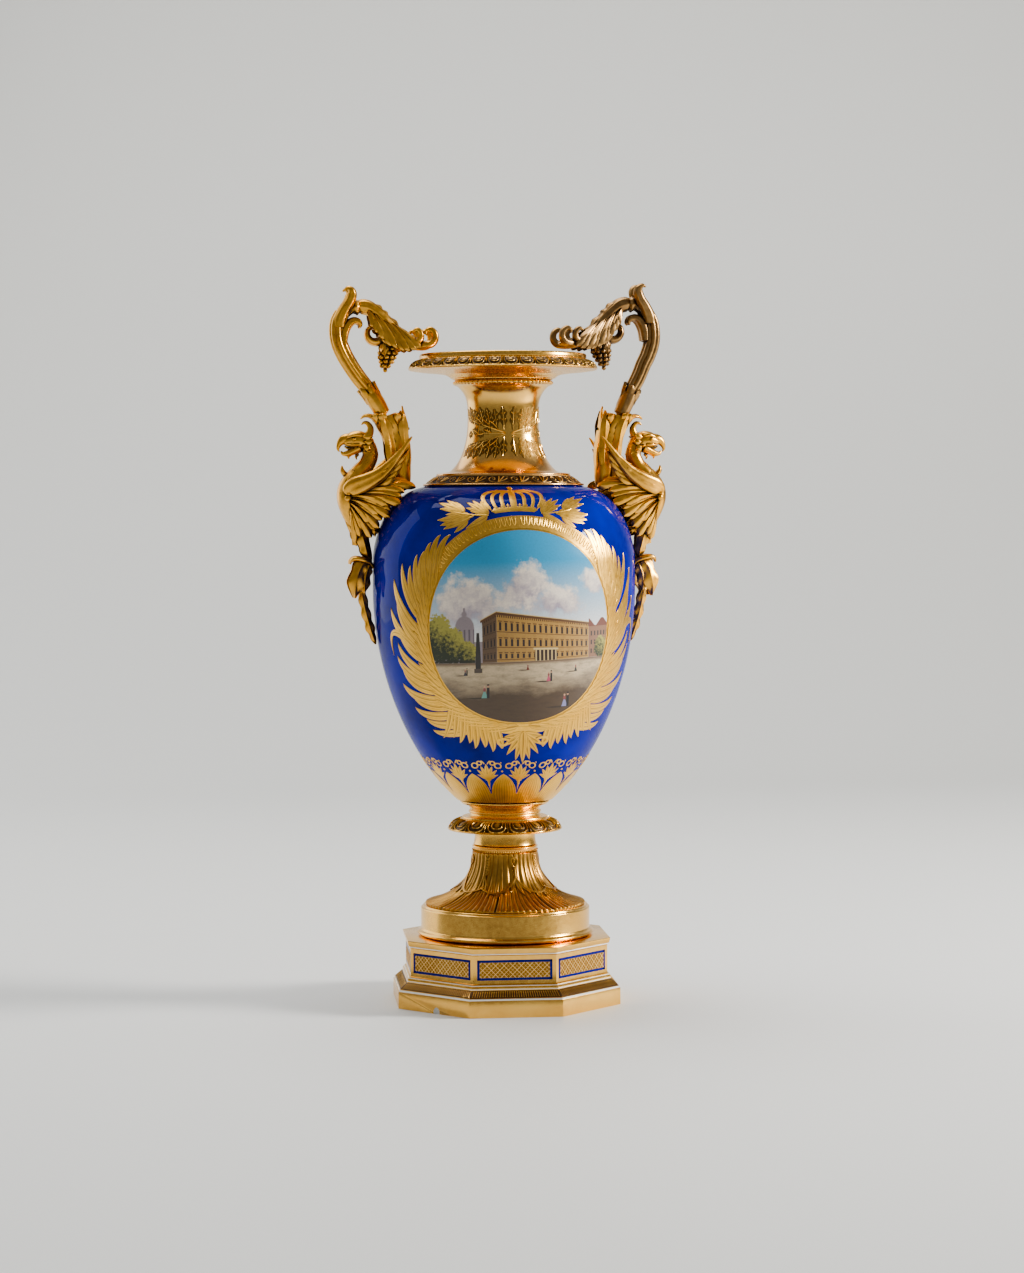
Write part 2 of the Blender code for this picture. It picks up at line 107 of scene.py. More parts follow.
studio = bpy.data.worlds.new("studio")
studio.use_nodes = True
studio.node_tree.nodes["Background"].inputs["Color"].default_value = (0.60, 0.61, 0.60, 1.0)
studio.node_tree.nodes["Background"].inputs["Strength"].default_value = 0.385
bpy.context.scene.world = studio
bpy.context.scene.view_settings.look = "AgX - Medium High Contrast"


VASE_MIDDLE = Vector((0.0, 0.0, 0.42))


def softbox(name, place, width, height, power, tint=(1.0, 1.0, 1.0)):
    """A rectangular area light at a place, turned to face the middle of the vase."""
    lamp = bpy.data.lights.new(name, "AREA")
    lamp.shape = "RECTANGLE"
    lamp.size, lamp.size_y, lamp.energy, lamp.color = width, height, power, tint
    stand = placed(name, lamp)
    stand.location = place
    stand.rotation_euler = (VASE_MIDDLE - Vector(place)).to_track_quat("-Z", "Y").to_euler()


softbox("key softbox", (3.3, -0.7, 1.7), 0.8, 1.0, 170.0, (1.0, 0.975, 0.94))
softbox("left panel", (-2.3, 2.2, 1.2), 2.8, 3.2, 38.0, (0.95, 0.975, 1.0))
softbox("top softbox", (-0.4, 0.7, 3.2), 2.6, 2.0, 60.0)

VIEW_TURN, VIEW_ROLL = math.radians(-8.6), math.radians(-0.25)      # a little left of the medallion's front
VIEW_DISTANCE, VIEW_HEIGHT, VIEW_SIDESTEP = 3.353, 0.568, 0.0098
camera_data = bpy.data.cameras.new("camera")
camera_data.sensor_fit = "VERTICAL"
camera_data.sensor_height = 36.0
camera_data.lens = 82.4
camera_data.shift_y = -0.1033
camera = placed("camera", camera_data)
aside = Matrix.Rotation(VIEW_TURN, 4, "Z")
camera.location = aside @ Vector((VIEW_SIDESTEP, -VIEW_DISTANCE, VIEW_HEIGHT))
camera.rotation_euler = (aside @ Matrix.Rotation(math.radians(90.0), 4, "X")
                         @ Matrix.Rotation(VIEW_ROLL, 4, "Z")).to_euler()
bpy.context.scene.camera = camera


# ======================================================================= plinth
# An octagonal porcelain plinth, gilded all over and burnished, with platinum lines, a tooled dark band
# under the die, and on each face a cobalt frame round a gilt trellis. The bottom edge has one old chip.
PLINTH_TURN = -3.1           # the plinth stands turned a little against the medallion
PLINTH_DIE = 112.0           # centre to flat
PLINTH_CORNICE = 115.2
PLINTH_BLOCK = 126.3
WALL = 7.0
EDGE_SOFTNESS = 0.35         # rounding of burnished edges
MEETING = 0.004              # repeats of an ornament are joined where they come this close


class Wire:
    """What comes out of a node. Plain signs between wires and numbers lay Math nodes."""

    def __init__(self, socket):
        self.socket = socket

    def put(self, operation, *others, first=()):
        """A Math node over this wire and others."""
        return laid(self.socket.id_data, "ShaderNodeMath", (*first, self, *others), operation=operation)

    __add__ = __radd__ = lambda self, other: self.put("ADD", other)
    __mul__ = __rmul__ = lambda self, other: self.put("MULTIPLY", other)
    __sub__ = lambda self, other: self.put("SUBTRACT", other)
    __rsub__ = lambda self, other: self.put("SUBTRACT", first=(other,))
    __truediv__ = lambda self, other: self.put("DIVIDE", other)
    __pow__ = lambda self, other: self.put("POWER", other)
    __abs__ = lambda self: self.put("ABSOLUTE")
    __getitem__ = lambda self, name: Wire(self.socket.node.outputs[name])      # another output of its node


def joined(node, entries):
    """Join wires to a node's entries, or set their values, by name or in order."""
    for key, value in (entries.items() if isinstance(entries, dict) else enumerate(entries)):
        if isinstance(value, Wire):
            node.id_data.links.new(value.socket, node.inputs[key])
        else:
            node.inputs[key].default_value = value


def laid(tree, kind, entries=(), output=0, **settings):
    """A new node in a tree, set and joined, and what comes out of it."""
    node = tree.nodes.new(kind)
    for name, value in settings.items():
        setattr(node, name, value)
    joined(node, entries)
    return Wire(node.outputs[output])


def blended(share, first, second):
    """A colour between two, by a share from 0 to 1."""
    first, second = ((*end, 1.0) if isinstance(end, tuple) else end for end in (first, second))
    return laid(share.socket.id_data, "ShaderNodeMix", {0: share, 6: first, 7: second}, 2, data_type="RGBA")


def ranged(value, *ends):
    """How far a value is from one end to the other, held to 0 and 1, or to the last two ends if given."""
    return laid(value.socket.id_data, "ShaderNodeMapRange", (value, *ends))


def mottle(place, size, detail=3.0, roughness=0.55):
    """Noise with features of about this size in millimetres."""
    return laid(place.socket.id_data, "ShaderNodeTexNoise", {
        "Vector": place, "Scale": 1.0 / (size * MM), "Detail": detail, "Roughness": roughness}, "Fac")


def new_tree(name, kind, entries, exits):
    """An empty node tree with named sockets, the wires that come into it, and its end."""
    tree = bpy.data.node_groups.new(name, kind)
    for in_out, sockets in (("INPUT", entries), ("OUTPUT", exits)):
        for socket_name, socket_kind in sockets.items():
            tree.interface.new_socket(socket_name, in_out=in_out, socket_type="NodeSocket" + socket_kind)
    inlet = tree.nodes.new("NodeGroupInput").outputs
    return tree, {entry: Wire(inlet[entry]) for entry in entries}, tree.nodes.new("NodeGroupOutput")


# Hand gilding: cloudy in colour, with finer rubbing, and never quite even in gloss. Its hollows are darkened,
# partly as grime and partly as painted shade.
gilding, given, end = new_tree("hand gilding", "ShaderNodeTree", {
    "Pale": "Color", "Deep": "Color", "Gloss": "Float", "Dullness": "Float", "Dirt And Shade Colour": "Color",
    "Dirt And Shade Amount": "Float"}, {"Colour": "Color", "Roughness": "Float", "Height": "Float", "Metal": "Float"})
place = laid(gilding, "ShaderNodeTexCoord", output="Object")
clouds, rubbing, speck = mottle(place, 38.0), mottle(place, 5.0, 4.0), mottle(place, 1.6, 2.0)
hollow, etched = (laid(gilding, "ShaderNodeAttribute", output="Fac", attribute_name=kind)
                  for kind in ("recess", "tooling"))
# The hollows take a darker colour and less shine: partly grime, partly painted shade.
dirt_and_shade = given["Dirt And Shade Amount"] * ranged(hollow + (rubbing - 0.5) * 0.35, 0.22, 0.72)
lines = ranged((etched * (2.0 * math.pi)).put("SINE"), 0.45, 0.95)
gold = blended(ranged(clouds * 0.6 + rubbing * 0.4, 0.38, 0.62), given["Deep"], given["Pale"])
joined(end, {
    "Colour": blended(dirt_and_shade.put("MAXIMUM", lines * 0.55), gold, given["Dirt And Shade Colour"]),
    "Roughness": ranged(clouds * 0.35 + (rubbing * 0.65 + dirt_and_shade * 0.4), 0.35, 0.85,
                        given["Gloss"], given["Dullness"]),
    "Height": rubbing * 0.75 + speck * 0.25,
    "Metal": 1.0 - dirt_and_shade * 0.55})


def fed(material, wires):
    """The material, with wires led into its shader."""
    joined(material.node_tree.nodes["Principled BSDF"], wires)
    return material


def gilt(name, pale, deep, gloss, dullness, dirt_and_shade=(0.10, 0.045, 0.015), amount=0.6, unevenness=0.03):
    """A gilded finish, darker in its hollows with grime and painted shade. Unevenness is the depth of its
    ripples in millimetres.
    """
    made = finish(name, pale, gloss, 1.0)
    gilded = laid(made.node_tree, "ShaderNodeGroup", {
        "Pale": (*pale, 1.0), "Deep": (*deep, 1.0), "Gloss": gloss, "Dullness": dullness,
        "Dirt And Shade Colour": (*dirt_and_shade, 1.0), "Dirt And Shade Amount": amount}, node_tree=gilding)
    ripples = laid(made.node_tree, "ShaderNodeBump", {"Distance": unevenness * MM, "Height": gilded["Height"]})
    return fed(made, {"Base Color": gilded["Colour"], "Roughness": gilded["Roughness"],
                      "Metallic": gilded["Metal"], "Normal": ripples})


burnished_gold = gilt("burnished gold", (0.94, 0.58, 0.170), (0.82, 0.47, 0.13), 0.17, 0.31)
moulded_gold = gilt("moulded gold", (0.94, 0.57, 0.160), (0.80, 0.45, 0.115), 0.20, 0.38,
                    dirt_and_shade=(0.055, 0.024, 0.008), amount=0.95)
matt_gold = gilt("matt gold", (0.58, 0.33, 0.085), (0.42, 0.21, 0.05), 0.28, 0.46,
                 dirt_and_shade=(0.060, 0.026, 0.008), amount=0.95, unevenness=0.10)
platinum = finish("platinum line", (0.92, 0.91, 0.89), 0.35, 1.0)
tooled_brown = finish("tooled brown gilding", (0.085, 0.040, 0.012), 0.42, 0.7)
cobalt_enamel = finish("cobalt enamel", (0.002, 0.006, 0.20), 0.2, more={"Specular IOR Level": 0.15})


def softened(profile, radius=EDGE_SOFTNESS):
    """The same closed profile with each sharp corner cut into a small round."""
    rounded = []
    count = len(profile)
    for i, corner in enumerate(profile):
        here = Vector(corner[:2])
        back = Vector(profile[i - 1][:2]) - here
        ahead = Vector(profile[(i + 1) % count][:2]) - here
        if here.x == 0.0 or min(back.length, ahead.length) < 2.5 * radius or back.angle(ahead) > 2.6:
            rounded.append(tuple(corner))
            continue
        start, finish_at = here + back.normalized() * radius, here + ahead.normalized() * radius
        for t in (0.0, 0.5, 1.0):
            rounded.append(tuple(start * (1 - t) ** 2 + here * 2 * t * (1 - t) + finish_at * t * t))
    return rounded


def hooped(bm, rings):
    """Faces between neighbouring rings of vertices, where a ring may be a single point."""
    for ring, following in zip(rings, rings[1:]):
        count = max(len(ring), len(following))
        for k in range(count if count > 1 else 0):
            after = (k + 1) % count
            corners = (ring[k % len(ring)], ring[after % len(ring)],
                       following[after % len(following)], following[k % len(following)])
            bm.faces.new(list(dict.fromkeys(corners)))


def sandwiched(bm, front, back):
    """Faces over a front and a back sheet of vertices and round their edges."""
    last, side = len(front) - 1, len(front[0]) - 1
    for i in range(last):
        for j in range(side):
            bm.faces.new((front[i][j], front[i][j + 1], front[i + 1][j + 1], front[i + 1][j]))
            bm.faces.new((back[i][j], back[i + 1][j], back[i + 1][j + 1], back[i][j + 1]))
        for j in (0, side):
            bm.faces.new((front[i][j], front[i + 1][j], back[i + 1][j], back[i][j]))
    for j in range(side):
        for i in (0, last):
            bm.faces.new((front[i][j], back[i][j], back[i][j + 1], front[i][j + 1]))


def turned(profile, segments, start_angle=0.0):
    """A bmesh turned from a closed profile of (radius, height), in millimetres."""
    bm = bmesh.new()
    turns = [math.radians(start_angle) + 2.0 * math.pi * k / segments for k in range(segments)]
    rings = [[bm.verts.new((r * math.cos(a), r * math.sin(a), z)) for a in (turns if r > 0 else turns[:1])]
             for r, z in profile]
    hooped(bm, rings + rings[:1])
    bmesh.ops.recalc_face_normals(bm, faces=bm.faces)
    return bm


def dressed(piece, *nodes, slot="gilt_porcelain"):
    """What is said of every piece: what it rides on and the CAD nodes it stands for, which are hidden. The slot
    is not used.
    """
    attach(piece, "root")
    if nodes:
        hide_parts(*nodes)
    return piece


def closed_piece(name, bm, material, *nodes, slot="gilt_porcelain", smooth_below=40.0):
    """A dressed piece from closed shapes, their faces turned outwards."""
    bmesh.ops.recalc_face_normals(bm, faces=bm.faces)
    return dressed(piece_from(name, bm, material, smooth_below), *nodes, slot=slot)


def octagonal(steps):
    """An octagonal prism from steps of (centre to flat, height)."""
    corner = 1.0 / math.cos(math.pi / 8)
    return turned([(flat * corner, height) for flat, height in softened(steps)], 8, 22.5 + PLINTH_TURN)


plinth_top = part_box("plinth")[1][2] / MM
plinth = piece_from("plinth", octagonal([
    (0.0, plinth_top), (PLINTH_CORNICE, plinth_top), (PLINTH_CORNICE, 73.6), (PLINTH_CORNICE - 0.7, 71.4),
    (PLINTH_CORNICE - 1.0, 69.6), (PLINTH_DIE + 1.1, 69.5), (PLINTH_DIE + 1.1, 67.6), (PLINTH_DIE, 66.9),
    (PLINTH_DIE, 35.5), (PLINTH_DIE + 1.6, 34.8), (PLINTH_DIE + 2.2, 33.2), (PLINTH_DIE + 3.4, 32.4),
    (PLINTH_DIE + 3.6, 30.9), (PLINTH_DIE + 3.6, 29.2), (PLINTH_DIE + 4.2, 28.6),
    (PLINTH_BLOCK - 2.2, 21.6), (PLINTH_BLOCK - 1.2, 21.0), (PLINTH_BLOCK - 1.2, 19.0),
    (PLINTH_BLOCK, 18.7), (PLINTH_BLOCK, 0.0), (PLINTH_BLOCK - WALL, 0.0), (PLINTH_BLOCK - WALL, 14.0),
    (PLINTH_DIE - WALL, 32.0), (PLINTH_DIE - WALL, plinth_top - 9.0), (0.0, plinth_top - 9.0)]),
    burnished_gold, 20.0)

# The chip: a rough bite out of the bottom edge, down to the white body.
CHIP_ANGLE, CHIP_RADIUS, CHIP_HEIGHT = -136.0, 5.0, 2.2
bite = bmesh.new()
bmesh.ops.create_icosphere(bite, subdivisions=2, radius=CHIP_RADIUS)
for vert in bite.verts:
    vert.co *= 1.0 + 0.14 * math.sin(7.3 * vert.co.x + 2.1 * vert.co.y) * math.cos(5.1 * vert.co.z)
    vert.co = Vector((0.5 * vert.co.x, vert.co.y, 1.15 * vert.co.z))
bmesh.ops.transform(bite, verts=bite.verts, matrix=Matrix.Rotation(math.radians(CHIP_ANGLE), 4, "Z")
                    @ Matrix.Translation((PLINTH_BLOCK + 1.0, 0.0, CHIP_HEIGHT)))
chip_cutter = piece_from("chip cutter", bite, finish("bare porcelain", (0.74, 0.73, 0.70), 0.6))
knock = plinth.modifiers.new("chip", "BOOLEAN")
knock.operation = "DIFFERENCE"
knock.material_mode = "TRANSFER"
knock.object = chip_cutter


def settled(piece):
    """Replace a piece's modifiers with the mesh that they make."""
    made = bpy.data.meshes.new_from_object(piece.evaluated_get(bpy.context.evaluated_depsgraph_get()))
    piece.modifiers.clear()
    piece.data = made
    return piece


dressed(settled(plinth), "plinth")
bpy.data.objects.remove(chip_cutter)

for line_name, flat, low, high in (
    ("upper", PLINTH_DIE + 1.25, 67.9, 69.2), ("middle", PLINTH_DIE + 2.35, 33.2, 34.1),
    ("lower", PLINTH_DIE + 3.75, 29.4, 30.5), ("block", PLINTH_BLOCK - 0.9, 18.9, 21.0),
):
    dressed(piece_from(f"plinth_line_{line_name}", octagonal([
        (flat, low), (flat, high), (flat - 1.6, high), (flat - 1.6, low)]), platinum, 20.0))


def coated(tree, geometry, material, end):
    """The end of a piece's tree: made real, joined where it meets, and given its finish."""
    real = laid(tree, "GeometryNodeRealizeInstances", (geometry,))
    sewn = laid(tree, "GeometryNodeMergeByDistance", {"Geometry": real, "Distance": MEETING * MM})
    joined(end, (laid(tree, "GeometryNodeSetMaterial", {"Geometry": sewn, "Material": material}),))


# What repeats round the vase is made once, and this tree carries it round the axis.
carousel, given, end = new_tree("ornament carried round the axis", "GeometryNodeTree", {
    "Ornament": "Object", "Count": "Int", "Start": "Float", "Finish": "Material"}, {"Geometry": "Geometry"})
angle = given["Start"] + laid(carousel, "GeometryNodeInputIndex") / given["Count"] * (2.0 * math.pi)
turn = laid(carousel, "ShaderNodeCombineXYZ", {"Z": angle})
coated(carousel, laid(carousel, "GeometryNodeInstanceOnPoints", {
    "Points": laid(carousel, "GeometryNodePoints", {"Count": given["Count"]}),
    "Instance": laid(carousel, "GeometryNodeObjectInfo", {"Object": given["Ornament"]}, "Geometry"),
    "Rotation": laid(carousel, "FunctionNodeEulerToRotation", (turn,)),
}), given["Finish"], end)


def grown(name, tree, values, smooth_below=40.0):
    """A new piece from a Geometry Nodes tree and its named inputs."""
    piece = placed(name, bpy.data.meshes.new(name))
    growth = piece.modifiers.new("growth", "NODES")
    growth.node_group = tree
    for entry in tree.interface.items_tree:
        if entry.in_out == "INPUT":
            growth[entry.identifier] = values[entry.name]
    shaded(settled(piece).data, smooth_below)
    return piece


def carried_round(name, ornament, material, count, start=0.0, smooth_below=40.0, nodes=(),
                  slot="gilt_porcelain"):
    """Copies of an ornament (a bmesh that stands at angle 0, on +X), all round the vase."""
    pattern = piece_from("pattern", ornament, material)
    piece = grown(name, carousel, {"Ornament": pattern, "Count": count, "Start": math.radians(start),
                                   "Finish": material}, smooth_below)
    bpy.data.objects.remove(pattern)
    return dressed(piece, *nodes, slot=slot)


PANEL_WIDE, PANEL_TALL = 42.1, 11.25         # half sizes
PANEL_MIDDLE = 50.75
FRAME_WIDTH = 2.7
GROUND_WIDE, GROUND_TALL = PANEL_WIDE - FRAME_WIDTH, PANEL_TALL - FRAME_WIDTH
TRELLIS_PITCH = 9.6


def on_panel(bm, corners, sunk, proud):
    """A closed bar over corners (along, up) from the panel's middle, let into the die and proud of it."""
    under, over = ([bm.verts.new((PLINTH_DIE + x, y, PANEL_MIDDLE + z)) for y, z in corners]
                   for x in (-sunk, proud))
    bm.faces.new(under[::-1])
    bm.faces.new(over)
    for k in range(4):
        bm.faces.new((under[k - 1], under[k], over[k], over[k - 1]))


def oblong(y0, y1, z0, z1):
    return (y0, z0), (y1, z0), (y1, z1), (y0, z1)


frame_bars, panel_ground, trellis = bmesh.new(), bmesh.new(), bmesh.new()
for bar in ((-PANEL_WIDE, PANEL_WIDE, GROUND_TALL, PANEL_TALL),
            (-PANEL_WIDE, PANEL_WIDE, -PANEL_TALL, -GROUND_TALL),
            (-PANEL_WIDE, -GROUND_WIDE, -PANEL_TALL, PANEL_TALL),
            (GROUND_WIDE, PANEL_WIDE, -PANEL_TALL, PANEL_TALL)):
    on_panel(frame_bars, oblong(*bar), 0.4, 0.16)
on_panel(panel_ground, oblong(-GROUND_WIDE, GROUND_WIDE, -GROUND_TALL, GROUND_TALL), 0.4, 0.05)
for offset, half_width, proud in ((0.25, 0.58, 0.22), (0.75, 0.24, 0.14)):      # broad bars, then fine ones
    half = half_width / math.sqrt(2.0)
    for lean in (-1, 1):
        start = TRELLIS_PITCH * offset - GROUND_WIDE - GROUND_TALL
        while start < GROUND_WIDE + GROUND_TALL:
            low, high = sorted(lean * (edge - start) for edge in (-GROUND_WIDE, GROUND_WIDE))
            low, high = max(-GROUND_TALL, low), min(GROUND_TALL, high)
            if high - low > 1.0:
                y0, y1 = start + lean * low, start + lean * high
                on_panel(trellis, ((y0 - half, low), (y0 + half, low), (y1 + half, high), (y1 - half, high)),
                         0.2, proud)
            start += TRELLIS_PITCH
panel_gold = gilt("panel ground", (0.40, 0.21, 0.045), (0.28, 0.135, 0.025), 0.34, 0.5)
trellis_gold = gilt("trellis gold", (0.98, 0.72, 0.34), (0.90, 0.60, 0.24), 0.28, 0.42)
carried_round("plinth_frames", frame_bars, cobalt_enamel, 8, PLINTH_TURN, slot="cobalt_glaze")
carried_round("plinth_panels", panel_ground, panel_gold, 8, PLINTH_TURN)
carried_round("plinth_trellis", trellis, trellis_gold, 8, PLINTH_TURN)

# The tooled band: upright strokes with round heads on the slope, on a brown ground.
BAND_LOW, BAND_HIGH = Vector((PLINTH_BLOCK - 2.2, 21.6)), Vector((PLINTH_DIE + 4.2, 28.6))
BAND_STROKES = 38
slope = BAND_HIGH - BAND_LOW
proud = Vector((slope.y, -slope.x)).normalized()
dressed(piece_from("plinth_band", octagonal([tuple(end + proud * lift) for end, lift in (
    (BAND_LOW, 0.1), (BAND_HIGH, 0.1), (BAND_HIGH, -1.0), (BAND_LOW, -1.0))]), tooled_brown, 20.0))
strokes = bmesh.new()
for i in range(BAND_STROKES):
    share = (i + 0.5) / BAND_STROKES * 2.0 - 1.0
    for half, low, high in ((0.62, 0.12, 0.72), (0.95, 0.66, 0.88)):
        over, under = [], []
        for part in (low, high):
            spot = BAND_LOW + slope * part
            reach = spot.x * math.tan(math.pi / 8) - 1.2
            for sheet, lift, wide in ((under, -0.3, half), (over, 0.35, 0.45 * half)):
                at = spot + proud * lift
                sheet.append([strokes.verts.new((at.x, share * reach + s * wide, at.y)) for s in (-1, 1)])
        sandwiched(strokes, over, under)
bmesh.ops.recalc_face_normals(strokes, faces=strokes.faces)
tooling_gold = gilt("tooling gold", (0.78, 0.46, 0.13), (0.55, 0.30, 0.08), 0.3, 0.5)
carried_round("plinth_band_strokes", strokes, tooling_gold, 8, PLINTH_TURN)


# ======================================================================= foot
# A round porcelain foot: a burnished drum on a torus, and over it a matt gilt trumpet moulded with eight
# broad leaves whose flutes fork as they fall, hung with ring knots, plaited ears and looped cords.
DRUM_RADIUS = 96.8
FOOT_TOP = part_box("foot")[1][2] / MM
FOOT_LEAVES = 8
FOOT_START = -83.6           # where the knot that shows in front hangs
LEAF_FLUTES = 5
LEAF_RELIEF = 3.2


def bow(start, end, sag, steps):
    """Points from start to end on an arc that stands out by sag to the left of the way there."""
    (r0, z0), (r1, z1) = start, end
    length = math.hypot(r1 - r0, z1 - z0)
    side = (-(z1 - z0) / length, (r1 - r0) / length)
    return [(r0 + (r1 - r0) * t + side[0] * 4 * t * (1 - t) * sag,
             z0 + (z1 - z0) * t + side[1] * 4 * t * (1 - t) * sag)
            for t in (i / steps for i in range(steps + 1))]


def bezier(points, share):
    """The point at a share of the way along the curve that its control points pull."""
    while len(points) > 1:
        points = [[a + (b - a) * share for a, b in zip(*pair)] for pair in zip(points, points[1:])]
    return points[0]


TRUMPET = ((37.6, 170.6), (38.6, 142.0), (53.0, 122.5), (91.2, 113.4))
foot_drum = [
    (24.0, FOOT_TOP), (35.2, FOOT_TOP), *bow((36.2, 178.0), (36.2, 175.0), 1.5, 8), (36.2, 174.2),
    (36.9, 173.8), (36.9, 171.4), (36.0, 170.8), (35.0, 150.0), (37.0, 138.0), (50.0, 121.0), (86.0, 110.8),
    (93.6, 110.2), (94.4, 109.4), (94.6, 108.2), (96.0, 107.6), (DRUM_RADIUS, 106.8), (DRUM_RADIUS, 84.4),
    (97.6, 83.6), *bow((97.9, 82.6), (97.9, 76.6), 3.3, 12), (96.4, 76.0),
    (DRUM_RADIUS - WALL, 76.0), (DRUM_RADIUS - WALL, 101.0), (78.0, 104.0), (46.0, 113.0), (30.0, 132.0),
    (28.0, 158.0)]
dressed(piece_from("foot", turned(softened(foot_drum), 192), burnished_gold, 30.0), "foot")


def moulded(name, profile, count, steps, relief, depth, material, start=0.0, smooth_below=40.0, nodes=()):
    """A turned piece whose surface is moulded with an ornament that repeats round it.

    A point of the closed profile is (radius, height) or (radius, height, share), and at a share the
    surface is sunk by depth times relief(across, share), where across runs from -1 to 1.
    """
    profile = profile[::-1]
    bm = bmesh.new()
    recess = bm.verts.layers.float.new("recess")
    size = len(profile)
    columns = []
    for j in range(steps + 1):
        across = 2.0 * j / steps - 1.0
        angle = math.pi * across / count
        column = []
        for i, (r, z, *share) in enumerate(profile):
            sunk = relief(across, share[0]) if share else 0.0
            if sunk:
                along = Vector(profile[(i + 1) % size][:2]) - Vector(profile[i - 1][:2])
                inward = Vector((-along.y, along.x)).normalized() * depth * sunk
                r, z = r + inward.x, z + inward.y
            column.append(bm.verts.new((r * math.cos(angle), r * math.sin(angle), z)))
            # The deeper the relief is sunk, the darker the gilding is painted there: partly grime, partly
            # painted shade.
            column[-1][recess] = max(0.0, min(1.0, 1.15 * sunk))
        columns.append(column)
    for left, right in zip(columns, columns[1:]):
        for i in range(size):
            nxt = (i + 1) % size
            bm.faces.new((left[i], left[nxt], right[nxt], right[i]))
    return carried_round(name, bm, material, count, start, smooth_below, nodes)


def ridge_of(value, width):
    """A round ridge: 1 at 0, falling to 0 at plus or minus width."""
    return math.cos(0.5 * math.pi * value / width) ** 2 if abs(value) < width else 0.0


def water_leaf(across, share):
    """Flutes that bow outwards and fork on the way down, with a cut between neighbouring leaves."""
    bowed = across * (1.0 + 0.22 * math.sin(math.pi * share) * (1.0 - abs(across)))
    flute = abs(math.sin(math.pi * 0.5 * LEAF_FLUTES * bowed)) ** 0.8
    forked = abs(math.sin(math.pi * LEAF_FLUTES * bowed)) ** 0.7
    fork = min(max((share - 0.42) / 0.25, 0.0), 1.0)
    cut = ridge_of(1.0 - abs(across), 0.10) * min(share * 3.0, 1.0)
    return (0.55 + 0.45 * share) * (0.62 * (1.0 - flute * (1.0 - fork) - forked * fork) + 0.38 * cut)


leaf_profile = [(*bezier(TRUMPET, i / 90), i / 90) for i in range(91)]
leaf_profile += [(91.6, 112.6, 1.0), (91.5, 111.4, 1.0), (90.6, 110.6), (84.0, 111.6), (50.0, 120.6),
                 (37.6, 137.0), (35.4, 150.0), (35.6, 170.0)]
moulded("foot_leaves", leaf_profile, FOOT_LEAVES, 56, water_leaf, LEAF_RELIEF, matt_gold, FOOT_START, 50.0)


def plate(bm, rows, surface, under=0.15):
    """A thin closed plate over rows of (u, v, lift, recess, tooling) on a surface."""
    recess, tooling = (bm.verts.layers.float.get(kind) or bm.verts.layers.float.new(kind)
                       for kind in ("recess", "tooling"))
    sheets = ([], [])
    for sheet in sheets:
        for row in rows:
            sheet.append([])
            for u, v, lift, dark, phase in row:
                vert = bm.verts.new(surface(u, v, lift if sheet is sheets[0] else -under))
                vert[recess], vert[tooling] = dark, phase
                sheet[-1].append(vert)
    sandwiched(bm, *sheets)


def leaf_width(share):
    return math.sin(math.pi * share ** 0.62) ** 0.75


def dot_width(share):
    return 2.0 * math.sqrt(max(share * (1.0 - share), 0.0))


def ribbon_width(share):
    return min(1.0, 2.0 * dot_width(share))


def cord_width(share):
    return 0.72 + 0.28 * abs(math.sin(16.0 * math.pi * share))


def stroke(bm, surface, spine, half_width, shape=leaf_width, lift=0.25, vein=0.0, steps=12, columns=5,
           lines=0.0):
    """A gilded leaf, ribbon or dot along a curve, with a vein and tooled lines down it."""
    rows = []
    for i in range(steps + 1):
        share = i / steps
        (x, y), (x1, y1) = bezier(spine, share - 0.01), bezier(spine, share + 0.01)
        side = Vector((y - y1, x1 - x)).normalized() * half_width * max(shape(share), 0.02)
        rows.append([])
        for j in range(columns):
            across = 2.0 * j / (columns - 1) - 1.0
            groove = ridge_of(across, 0.3) * vein
            # Grooves and edges are marked to be painted darker: partly grime, partly painted shade.
            rows[-1].append(((x + x1) / 2 + side.x * across, (y + y1) / 2 + side.y * across,
                             lift + 0.22 * (1.0 - across * across) - 0.3 * groove,
                             max(groove, 0.75 * vein * abs(across) ** 6), across * lines))
    plate(bm, rows, surface)


# Raised gilding on the trumpet: four ring knots with cords that hang in swags to plaited ears, pointed
# leaves under the knots, and a line of beads at the top.
EAR = math.radians(45.0)
trumpet_line = [bezier(TRUMPET, i / 200) for i in range(201)]
trumpet_runs = [0.0]
for (r0, z0), (r1, z1) in zip(trumpet_line, trumpet_line[1:]):
    trumpet_runs.append(trumpet_runs[-1] + math.hypot(r1 - r0, z1 - z0))


def on_trumpet(u, v, lift):
    """A place on the trumpet: along its wall and down from its top, lifted off it; u = 0 faces +X."""
    (r, z), (r1, z1) = ([float(np.interp(run, trumpet_runs, line)) for line in zip(*trumpet_line)]
                        for run in (v, v + 0.4))
    away = Vector((z - z1, r1 - r)).normalized() * lift
    return (r + away.x) * math.cos(u / r), (r + away.x) * math.sin(u / r), z + away.y


